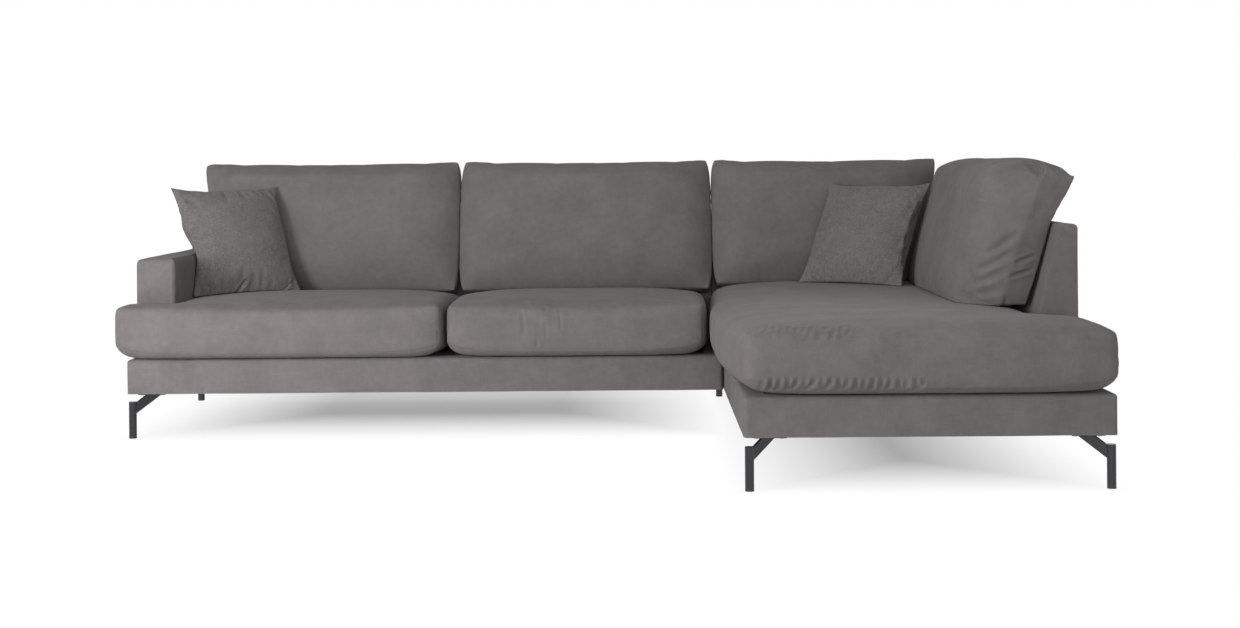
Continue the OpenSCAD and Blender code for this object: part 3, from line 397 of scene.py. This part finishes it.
def plastic(name, colour, rough):
    material, add, link = node_material(name)
    place = add("ShaderNodeTexCoord")
    grain = add("ShaderNodeTexNoise", Scale=mould_grain_scale, Detail=2.0)
    tone = add("ShaderNodeMapRange", **{"To Min": mould_dark, "To Max": mould_light})
    tint = add("ShaderNodeVectorMath", operation="SCALE")
    tint.inputs[0].default_value = colour
    raised = add("ShaderNodeBump", Strength=mould_strength, Distance=mould_height)
    shell = add("ShaderNodeBsdfPrincipled", Roughness=rough)
    out = add("ShaderNodeOutputMaterial")
    link(place.outputs["Object"], grain.inputs["Vector"])
    link(grain.outputs["Fac"], tone.inputs["Value"])
    link(grain.outputs["Fac"], raised.inputs["Height"])
    link(tone.outputs["Result"], tint.inputs["Scale"])
    link(tint.outputs[0], shell.inputs["Base Color"])
    link(raised.outputs["Normal"], shell.inputs["Normal"])
    link(shell.outputs["BSDF"], out.inputs["Surface"])
    return material


# %% [markdown]
# ## One finish for each slot
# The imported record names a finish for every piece. The colours are linear red, green and blue: the
# covers' grey was read off the photograph's evenly lit places, and the colours inside the sofa are
# those of the usual materials.

# %% Finishes
cover_grey, pillow_grey = (0.158, 0.147, 0.144), (0.17, 0.159, 0.156)
charcoal, black = (0.06, 0.058, 0.057), (0.02, 0.02, 0.02)
foam_cream, jute_brown, beech = (0.72, 0.68, 0.57), (0.42, 0.35, 0.2), (0.52, 0.36, 0.19)
dark_steel, zinc_steel, oiled_steel = (0.054, 0.055, 0.058), (0.6, 0.6, 0.61), (0.3, 0.3, 0.31)
clip_white = (0.78, 0.78, 0.75)
looks = {
    "cover_fabric": fabric("cover_fabric", cover_grey),
    "pillow_fabric": fabric("pillow_fabric", pillow_grey, slub=0.6, weave=0.0016, bump=0.6, ribs=1.2),
    "deck_fabric": fabric("deck_fabric", charcoal, sheen=0.05),
    "dust_fabric": fabric("dust_fabric", black, sheen=0.02),
    "padding": fabric("padding", foam_cream, sheen=0.1),
    "webbing": fabric("webbing", jute_brown, slub=0.3, sheen=0.05),
    "timber": timber("timber", beech),
    "leg_metal": metal("leg_metal", dark_steel, rough=0.24),
    "bright_steel": metal("bright_steel", zinc_steel, rough=0.3),
    "spring_steel": metal("spring_steel", oiled_steel, rough=0.35),
    "glide_plastic": plastic("glide_plastic", black, rough=0.5),
    "clip_plastic": plastic("clip_plastic", clip_white, rough=0.45),
}
for name, obj in nodes.items():
    link_material(obj, looks[slot_of[name]])
print(len(looks), "materials")

# %% [markdown]
# ## Cushion forms
# A loose cushion is a cloth bag of a few panels sewn edge to edge. Modelling it by hand would lose the
# packed sizes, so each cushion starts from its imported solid. The solid's triangles are joined into
# four-sided faces, the edges where its panels meet are its seams, and subdivision rounds the panels
# between them.

# %% Panels and seams
soft_nodes = ["seat_cushion_left", "seat_cushion_middle", "seat_cushion_chaise",
              "back_cushion_left", "back_cushion_middle", "back_cushion_right", "side_back_cushion",
              "pillow_left", "pillow_right"]
seam_angle = math.radians(38)
diagonal_angle = math.radians(75)
seam_crease = {"seat": 0.2, "back": 0.55, "side": 0.9, "pillow": 0.8}
same_place = 1e-5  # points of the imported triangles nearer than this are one


def longest_edge(face):
    return max(face.edges, key=lambda e: e.calc_length())


def panels(node):
    """A copy of a packed soft solid in four-sided faces, with its seams creased and in the group "seam"."""
    bm = bmesh.new()
    bm.from_mesh(nodes[node].data)
    bmesh.ops.remove_doubles(bm, verts=bm.verts, dist=same_place)
    diagonals = [e for e in bm.edges if len(e.link_faces) == 2 and e.calc_face_angle() < diagonal_angle
                 and all(longest_edge(f) == e for f in e.link_faces)]
    bmesh.ops.dissolve_edges(bm, edges=diagonals, use_verts=False)
    bm.normal_update()
    creases = bm.edges.layers.float.new("crease_edge")
    sewn = set()
    for e in bm.edges:
        if e.calc_face_angle(0) > seam_angle:
            e[creases] = seam_crease[node.split("_")[0]]
            sewn.update(v.index for v in e.verts)
    mesh = bpy.data.meshes.new(node + "_cloth")
    bm.to_mesh(mesh)
    bm.free()
    obj = bpy.data.objects.new(node + "_cloth", mesh)
    scene.collection.objects.link(obj)
    group = obj.vertex_groups.new(name="seam")
    group.add(sorted(sewn), 1.0, "REPLACE")
    return obj


# %% Helpers for a mesh's points
def bake_modifiers(obj):
    """Applies what the modifiers make of the mesh."""
    made = bpy.data.meshes.new_from_object(obj.evaluated_get(bpy.context.evaluated_depsgraph_get()))
    obj.modifiers.clear()
    obj.data = made


def points_of(obj):
    co = np.empty(len(obj.data.vertices) * 3, np.float32)
    obj.data.vertices.foreach_get("co", co)
    return co.reshape(-1, 3).astype(float)


def set_points(obj, co):
    obj.data.vertices.foreach_set("co", co.astype(np.float32).ravel())
    obj.data.update()


def normals_of(obj):
    no = np.empty(len(obj.data.vertices) * 3, np.float32)
    obj.data.vertex_normals.foreach_get("vector", no)
    return no.reshape(-1, 3).astype(float)


# %% [markdown]
# ## Subdivision that keeps the size
# Subdivision rounds a form but also shrinks it. A larger cage would help, but how much larger differs
# from place to place, so each point is moved out by what it would lose, and the step is repeated until
# the rounded form fits.

# %% Subdivision
shrink_rounds, shrink_share = 3, 0.8


def subdivide(obj, levels):
    modifier = obj.modifiers.new("rounding", "SUBSURF")
    modifier.levels = modifier.render_levels = levels
    bake_modifiers(obj)


def keep_full(obj, levels):
    """Moves the points out by what subdivision would pull them in."""
    target = points_of(obj)
    modifier = obj.modifiers.new("rounding", "SUBSURF")
    modifier.levels = modifier.render_levels = levels
    for _ in range(shrink_rounds):
        rounded = obj.evaluated_get(bpy.context.evaluated_depsgraph_get()).data
        now = np.array([rounded.vertices[i].co for i in range(len(target))])
        set_points(obj, points_of(obj) + shrink_share * (target - now))
        obj.update_tag()
    obj.modifiers.clear()


# %% Where the seams run
on_seam = 0.999  # the least weight of a point on a seam


def seam_weights(obj):
    index = obj.vertex_groups["seam"].index
    return np.array([next((g.weight for g in v.groups if g.group == index), 0) for v in obj.data.vertices])


def seam_tree(obj):
    sewn = np.nonzero(seam_weights(obj) > on_seam)[0]
    co = points_of(obj)
    tree = KDTree(len(sewn))
    for k, i in enumerate(sewn):
        tree.insert(co[i], k)
    tree.balance()
    return tree


# %% [markdown]
# ## Rounded edges and even panels
# The filling under a cover rounds the edges off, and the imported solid's facets have to go. A smoothing
# brush does both in Blender by hand. Here the same averaging runs in code, strong near an edge or
# between the seams.

# %% Smoothing
smoothing_step = 0.6  # how far a point goes towards the middle of its neighbours in one round


def smoothed(obj, field, rounds, weight=smoothing_step):
    """A field over the mesh's points, averaged again and again with its neighbours along the edges."""
    ends = np.empty(len(obj.data.edges) * 2, np.int32)
    obj.data.edges.foreach_get("vertices", ends)
    a, b = ends.reshape(-1, 2).T
    count = len(field)
    degree = np.bincount(a, minlength=count) + np.bincount(b, minlength=count)
    for _ in range(rounds):
        total = np.stack([np.bincount(a, field[b, k], count) + np.bincount(b, field[a, k], count)
                          for k in range(3)], 1)
        field = field + weight * (total / np.maximum(degree, 1)[:, None] - field)
    return field


# %% Edges rounded by the filling
edge_reach = {"seat_cushion_left": 0.06, "seat_cushion_middle": 0.06, "seat_cushion_chaise": 0.075}
edge_rounds = {"seat_cushion_left": 26, "seat_cushion_middle": 22, "seat_cushion_chaise": 50}
lower_edge_share = 0.7
lower_edge_reach = 0.03
lower_edge_rise = 0.006  # the seats' lower edges curl up a little from the deck


def round_edges(obj, reach, rounds):
    """Foam under a loose cover rounds the edges off, most of all on top."""
    co = points_of(obj)
    tree = seam_tree(obj)
    near = np.array([tree.find(p)[2] for p in co])
    middle = (co[:, 2].min() + co[:, 2].max()) / 2
    share = np.exp(-(near / reach) ** 2) * np.where(co[:, 2] > middle, 1, lower_edge_share)
    eased = smoothed(obj, co, rounds, smoothing_step * share[:, None])
    low, size = co.min(0), np.ptp(co, axis=0)
    eased_low, eased_size = eased.min(0), np.ptp(eased, axis=0)
    fitted = low + (eased - eased_low) * size / eased_size
    curl = np.exp(-(near / lower_edge_reach) ** 2) * (co[:, 2] < middle)
    fitted[:, 2] = eased[:, 2] + lower_edge_rise * curl
    set_points(obj, fitted)


def ease_panels(obj, rounds):
    """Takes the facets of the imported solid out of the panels, while the seams stay."""
    free = 1 - np.minimum(1, seam_weights(obj) * seam_hold)
    set_points(obj, smoothed(obj, points_of(obj), rounds, smoothing_step * free[:, None]))


# %% The nine cushions' forms
size_levels = 2  # the subdivisions that the sizes are kept for; a third one changes them hardly at all
form_levels = 3
panel_rounds = 40
seam_hold = 1.5
cushions = {}
for node in soft_nodes:
    cushions[node] = panels(node)
    keep_full(cushions[node], size_levels)
    subdivide(cushions[node], form_levels)
    ease_panels(cushions[node], panel_rounds)
    if node in edge_reach:
        round_edges(cushions[node], edge_reach[node], edge_rounds[node])
print(sum(len(c.data.vertices) for c in cushions.values()), "points in the cushions' forms")

# %% [markdown]
# ## Room between neighbours
# Stuffed cushions press on each other and stop. Letting the simulation find each contact is slow and
# restless, so the room is measured first: for each point it is the distance to the nearest other piece.
# A seat also slides out past its neighbours, and they past it, so its room is the least along both
# slides.

# %% The pieces' surfaces
farthest_room = 0.05
near_nodes = soft_nodes + ["arm_cover", "main_back_cover", "chaise_back_cover", "side_back_cover",
                           "main_base_cover", "chaise_base_cover", "main_deck_cloth", "chaise_deck_cloth"]
solids = {}
for node in near_nodes:
    co = points_of(nodes[node])
    faces = [tuple(f.vertices) for f in nodes[node].data.polygons]
    solids[node] = BVHTree.FromPolygons([Vector(p) for p in co], faces)
print(len(solids), "pieces that a cushion may meet")

# %% Room along the slides
slides = {j["child"]: np.array(j["axis"]) * j["range_m"][1] for j in frame["record"]["behaviour"]["joints"]}
half_way = 0.5


def places_along_slides(node, other):
    """How far a piece moves past another: not at all, and for a seat along its slide and its neighbour's."""
    places = [np.zeros(3)]
    if "seat" in node:
        places += [slides[body_of[node]] * share for share in (half_way, 1)]
        if "seat" in other:
            places += [slides[body_of[other]] * -share for share in (half_way, 1)]
    return places


def room_around(node, co, reach=farthest_room):
    room = np.full(len(co), reach)
    for other, tree in solids.items():
        if other == node:
            continue
        low, high = (np.array(c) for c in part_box(other))
        for place in places_along_slides(node, other):
            moved = co + place
            near = np.nonzero(((moved > low - reach) & (moved < high + reach)).all(1))[0]
            for i in near:
                hit = tree.find_nearest(moved[i], room[i])
                if hit[0] is not None:
                    room[i] = min(room[i], hit[3])
    return room


rooms = {node: room_around(node, points_of(obj)) for node, obj in cushions.items()}
print("room measured round", len(rooms), "cushions")

# %% [markdown]
# ## Stuffing the cushions
# Cloth over a filling is full between its seams and wrinkles towards them. Sculpting could show that,
# but a cloth simulation finds it by itself: each panel is cut a little larger than its form, held at
# its seams and wherever it rests on something, and filled by pressure. The broad part of each move and
# its wrinkles are limited one by one, so that a cushion swells little and still wrinkles.

# %% What each kind of cushion is filled with
pressure = {"seat": 3.0, "back": 3.0, "side": 3.0, "pillow": 4.0}
spare_cloth = {"seat": 0.014, "back": 0.012, "side": 0.022, "pillow": 0.03}
swell_cap = {"seat": 0.004, "back": 0.004, "side": 0.006, "pillow": 0.008}
wrinkle_share = {"seat": 0.08, "back": 0.25, "side": 0.3, "pillow": 0.9}
wrinkle_cap = 0.007
held_within = 0.004
share_of_room = 0.45
smoothing_rounds = 40
last_step = 20
stretch_stiffness, shear_stiffness, bend_stiffness = 12, 6, 1.2
damping = 12


# %% The cloth
def limited(field, most):
    """Shortens the moves that are longer than they may be, without a break."""
    size = np.linalg.norm(field, axis=1)
    most = np.broadcast_to(most, size.shape)
    return field * (most * np.tanh(size / np.maximum(most, 1e-9)) / np.maximum(size, 1e-9))[:, None]


def add_cloth(obj, kind, held):
    group = obj.vertex_groups.new(name="held")
    group.add([int(i) for i in held], 1.0, "REPLACE")
    cloth = obj.modifiers.new("stuffing", "CLOTH")
    settings = cloth.settings
    settings.quality = 5
    settings.mass = 0.3
    settings.tension_stiffness = settings.compression_stiffness = stretch_stiffness
    settings.shear_stiffness = shear_stiffness
    settings.bending_stiffness = bend_stiffness
    settings.tension_damping = settings.compression_damping = settings.shear_damping = damping
    settings.use_pressure = True
    settings.uniform_pressure_force = pressure[kind]
    settings.shrink_min = -spare_cloth[kind]
    settings.vertex_group_mass = "held"
    settings.effector_weights.gravity = 0
    cloth.collision_settings.use_collision = False
    cloth.collision_settings.use_self_collision = False
    cloth.point_cache.frame_start, cloth.point_cache.frame_end = 1, last_step


# %% Stuffing all of them together
def stuff(all_cushions):
    before = {}
    for node, obj in all_cushions.items():
        held = np.nonzero((seam_weights(obj) > on_seam) | (rooms[node] < held_within))[0]
        add_cloth(obj, node.split("_")[0], held)
        before[node] = points_of(obj)
    for step in range(1, last_step + 1):
        scene.frame_set(step)
    shown = bpy.context.evaluated_depsgraph_get()
    for node, obj in all_cushions.items():
        kind = node.split("_")[0]
        stuffed = obj.evaluated_get(shown)
        co = np.array([v.co for v in stuffed.data.vertices])
        obj.modifiers.clear()
        move = co - before[node]
        broad = smoothed(obj, move, smoothing_rounds)
        wrinkles = limited((move - broad) * wrinkle_share[kind], wrinkle_cap)
        kept = limited(limited(broad, swell_cap[kind]) + wrinkles, share_of_room * rooms[node])
        set_points(obj, before[node] + kept)
        print(node, "moved", round(float(np.linalg.norm(move, axis=1).max()) * 1000, 1), "mm, kept",
              round(float(np.linalg.norm(kept, axis=1).max()) * 1000, 1), "mm")
    scene.frame_set(1)


stuff(cushions)

# %% [markdown]
# ## Seams
# The sewing thread draws the cloth in, so a seam is a shallow groove, and the cloth beside it gathers in
# short puckers. After one more subdivision each seam is drawn in a little, and smooth noise along it makes
# the puckers. As bump in the material alone they would be missing from the mesh itself.

# %% Sizes of grooves and puckers
pucker_depth = {"seat": 0.0016, "back": 0.0012, "side": 0.002, "pillow": 0.0016}
pucker_reach = {"seat": 0.035, "back": 0.03, "side": 0.04, "pillow": 0.035}
pucker_pitch = 0.022
seam_depth = 0.0022
top_seam_depth = 0.0004  # the seats' upper seams hardly show
seam_width = 0.007
pucker_end = 3  # in reaches: how far from its seam a pucker is gone
calm_scale = 0.17  # length of the stretches where a seam puckers more or less
calm_shift = Vector((7, 3, 1))  # takes them from another part of the noise than the puckers
room_kept = 0.3
nearby = 0.012


# %% [markdown]
# ## Folds of this sofa
# Some folds tell how this sofa has been sat in, and noise can't put them in their places. They are read
# off the photograph: both ends of each, in its pixels. The camera's line of sight through such a place
# meets the cushion where the fold ends. A fold is narrower than the cushion's faces, so these are cut
# finer beside it first.

# %% A place in the photograph
def at_photo(tree, place):
    """Where the line of sight through a place in the photograph meets a surface."""
    u, v = place[0] - centre_px[0], place[1] - centre_px[1]
    across = u * math.cos(roll) - v * math.sin(roll)
    down = u * math.sin(roll) + v * math.cos(roll)
    return tree.ray_cast(eye, Vector((across / focal_px, 1, -down / focal_px)).normalized())[0]


# %% The folds: both ends in the photograph's pixels, then width and depth
fine, small, broad_fold = 0.006, 0.011, 0.02
sway_reach, least_depth = 3, 0.4


def row_of_puckers(count, first, step, lean, wave):
    """Short folds side by side, from first to first plus lean; wave makes each a little different."""
    sway, rise, steepness, swing, most = wave
    return [((first[0] + step * k + sway_reach * math.sin(sway * k), first[1]),
             (first[0] + lean[0] + step * k, first[1] + lean[1] - rise * abs(math.sin(steepness * k))),
             fine, most * (least_depth + abs(math.sin(swing * k)))) for k in range(count)]


folds = {
    "side_back_cushion": [
        ((1014, 236), (988, 254), small, 0.004), ((1008, 254), (980, 270), small, 0.004),
        ((1001, 272), (978, 283), small, 0.0035), ((997, 290), (975, 294), small, 0.003),
        ((1018, 262), (1034, 256), fine, 0.003), ((1012, 276), (1031, 270), fine, 0.003),
        ((1026, 161), (1040, 175), small, 0.004), ((1036, 162), (1047, 173), small, 0.004),
        ((1052, 166), (1050, 178), small, 0.003), ((958, 194), (928, 286), broad_fold, -0.003)],
    "pillow_left": [
        ((236, 293), (247, 280), fine, 0.0035), ((281, 291), (295, 279), fine, 0.003),
        ((182, 196), (200, 206), small, 0.002)],
    "pillow_right": [
        ((906, 214), (916, 204), small, 0.003), ((896, 246), (908, 236), small, 0.003)],
    "seat_cushion_chaise": [
        ((844, 337), (932, 337), fine, 0.0014)]
        + row_of_puckers(14, (748, 338), 7.5, (5, -7), (2.3, 5, 1.7, 3.1, 0.0025))
        + row_of_puckers(20, (760, 389), 8.5, (3, -9), (2.9, 0, 0, 1.3, 0.004)),
    "seat_cushion_middle": [
        ((522, 312), (524, 331), fine, 0.002), ((534, 304), (537, 346), fine, 0.003),
        ((545, 308), (546, 336), fine, 0.002), ((560, 310), (561, 329), fine, 0.0016)],
}


fold_strength = 1.6  # all the depths above are made deeper by this
print(sum(len(rows) for rows in folds.values()), "folds read off the photograph")


# %% Folds on the cushion
def fold_lines(node, surface):
    """Where the folds run on the cushion: start, run, width and depth of each."""
    lines = []
    for start, end, width, most in folds.get(node, []):
        a, b = at_photo(surface, start), at_photo(surface, end)
        if a is None or b is None:
            print(node, "has no surface behind", start, end)
            continue
        lines.append((np.array(a), np.array(b - a), width, most))
    return lines


def beside(co, start, run):
    """For each point, its share of the way along a fold and its distance from it."""
    along = np.clip((co - start) @ run / (run @ run), 0, 1)
    return along, np.linalg.norm(co - start - along[:, None] * run, axis=1)


# %% Finer faces beside a fold
fold_cuts, fold_grid = 3, 0.004  # how often a face is halved, and the size at which it is fine enough
fold_margin = 3.5  # how far off a fold this goes, in its widths
refined_rounds = 6


def refine(obj, lines):
    """Cuts the faces beside the folds finer, because a fold is narrower than they are."""
    bm = bmesh.new()
    bm.from_mesh(obj.data)
    for _ in range(fold_cuts):
        edges = [e for e in bm.edges if e.calc_length() > fold_grid]
        if not edges:
            break
        middles = np.array([(e.verts[0].co + e.verts[1].co) / 2 for e in edges])
        near = np.zeros(len(edges), bool)
        for start, run, width, _ in lines:
            near |= beside(middles, start, run)[1] < fold_margin * width
        bmesh.ops.subdivide_edges(bm, edges=[e for e, n in zip(edges, near) if n], cuts=1, use_grid_fill=True)
    bm.to_mesh(obj.data)
    bm.free()
    co = points_of(obj)
    cut = np.zeros(len(co))
    for start, run, width, _ in lines:
        cut = np.maximum(cut, np.exp(-(beside(co, start, run)[1] / (fold_margin * width)) ** 2))
    set_points(obj, smoothed(obj, co, refined_rounds, smoothing_step * cut[:, None]))


# %% The fold's shape across and along
ridge_share, ridge_place = 0.4, 1.9  # the low ridges beside a trough: height, and place in fold widths
shallow_ends, deep_middle = 0.12, 0.76  # where on half a wave a fold starts, and how much of it it takes


def fold_depth(co, lines):
    depth = np.zeros(len(co))
    for start, run, width, most in lines:
        along, off = beside(co, start, run)
        side_ridges = ridge_share * np.exp(-((off - ridge_place * width) / width) ** 2)
        trough = np.exp(-(off / width) ** 2) - side_ridges
        depth += fold_strength * most * np.sin(np.pi * (shallow_ends + deep_middle * along)) * trough
    return depth


# %% Sewing one cushion
slack_corners = {"back_cushion_left": (211, 170)}  # a corner that has gone round, in the photograph
slack_reach = 0.08
slack_rounds = 120


def sew(node, obj):
    kind = node.split("_")[0]
    tree = seam_tree(obj)
    subdivide(obj, 1)
    co = points_of(obj)
    faces = [tuple(f.vertices) for f in obj.data.polygons]
    surface = BVHTree.FromPolygons([Vector(p) for p in co], faces)
    if node in slack_corners:
        off = np.linalg.norm(co - np.array(at_photo(surface, slack_corners[node])), axis=1)
        slack = np.exp(-(off / slack_reach) ** 2)
        set_points(obj, smoothed(obj, co, slack_rounds, smoothing_step * slack[:, None]))
    lines = fold_lines(node, surface)
    if lines:
        refine(obj, lines)
    co, normal = points_of(obj), normals_of(obj)
    lift = -fold_depth(co, lines)
    reach = pucker_reach[kind]
    top = co[:, 2] > (co[:, 2].min() + co[:, 2].max()) / 2
    for i, p in enumerate(co):
        seam_point, _, distance = tree.find(p)
        if distance > pucker_end * reach:
            continue
        gather = noise.noise(seam_point / pucker_pitch)
        patch = 0.5 + 0.5 * noise.noise(seam_point / calm_scale + calm_shift)
        fade = math.exp(-(distance / reach) ** 1.5) * min(1, distance / seam_width)
        lift[i] += pucker_depth[kind] * gather * max(0, patch) * 2 * fade
        groove = top_seam_depth if kind == "seat" and top[i] else seam_depth
        lift[i] -= groove * max(0, 1 - distance / seam_width) ** 2
    room = room_around(node, co, nearby)
    lift = np.where(lift > 0, np.minimum(lift, room_kept * room), lift)
    set_points(obj, co + normal * lift[:, None])


# %% [markdown]
# ## Cushions in place
# Each sewn cushion stands for its imported solid: it hides the solid, moves with the solid's body and takes
# its finish. The seats are firmer than the back cushions and the pillows.


def take_place(obj, node):
    """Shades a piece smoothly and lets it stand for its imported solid."""
    for polygon in obj.data.polygons:
        polygon.use_smooth = True
    link_material(obj, looks[slot_of[node]])
    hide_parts(node)
    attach(obj, body_of[node])


for node, obj in cushions.items():
    sew(node, obj)
    take_place(obj, node)
print(sum(len(c.data.polygons) for c in cushions.values()), "faces in the cushions")

# %% [markdown]
# ## Covers of the frame
# The covers of the bases, the arm and the backs are sewn tight over foam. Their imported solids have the
# right shape, and could stay with a material alone, but foam under a cover is never dead flat. So each
# gets a fine skin of its own, smooth round its edges and a little uneven along its faces.

# %% Fine faces
covered = ["main_base", "chaise_base", "arm", "main_back", "chaise_back", "side_back"]
skin_grid = 0.02
on_plane = 1e-6


def sliced(bm, grid):
    """Cuts every face along evenly spaced planes."""
    for axis in range(3):
        low = min(v.co[axis] for v in bm.verts)
        high = max(v.co[axis] for v in bm.verts)
        normal = Vector([1.0 if k == axis else 0.0 for k in range(3)])
        for step in range(1, math.ceil((high - low) / grid)):
            place = normal * (low + step * grid)
            bmesh.ops.bisect_plane(bm, geom=bm.verts[:] + bm.edges[:] + bm.faces[:], plane_co=place,
                                   plane_no=normal, dist=on_plane)


# %% Skins over the foam
skin_sag = 0.0012  # unevenness of the foam under a cover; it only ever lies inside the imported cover
dent_size = 0.16
flat_angle = math.radians(1)
facing_up = 0.3
top_crowns = {"arm_cover": 0.006}  # the foam on the arm's top stands a little above its frame


def skin(node):
    bm = bmesh.new()
    bm.from_mesh(nodes[node].data)
    bmesh.ops.remove_doubles(bm, verts=bm.verts, dist=same_place)
    bmesh.ops.dissolve_limit(bm, angle_limit=flat_angle, verts=bm.verts, edges=bm.edges)
    sliced(bm, skin_grid)
    bm.normal_update()
    for v in bm.verts:
        v.co += v.normal * skin_sag * (noise.noise(v.co / dent_size) - 1)
        if v.normal.z > facing_up:
            v.co.z += top_crowns.get(node, 0) * v.normal.z
    for e in bm.edges:
        e.smooth = e.calc_face_angle(0) < seam_angle
    mesh = bpy.data.meshes.new(node + "_skin")
    bm.to_mesh(mesh)
    bm.free()
    obj = bpy.data.objects.new(node + "_skin", mesh)
    scene.collection.objects.link(obj)
    take_place(obj, node)
    return obj


for part in covered:
    cover = skin(part + "_cover")
    print(cover.name, len(cover.data.polygons), "faces")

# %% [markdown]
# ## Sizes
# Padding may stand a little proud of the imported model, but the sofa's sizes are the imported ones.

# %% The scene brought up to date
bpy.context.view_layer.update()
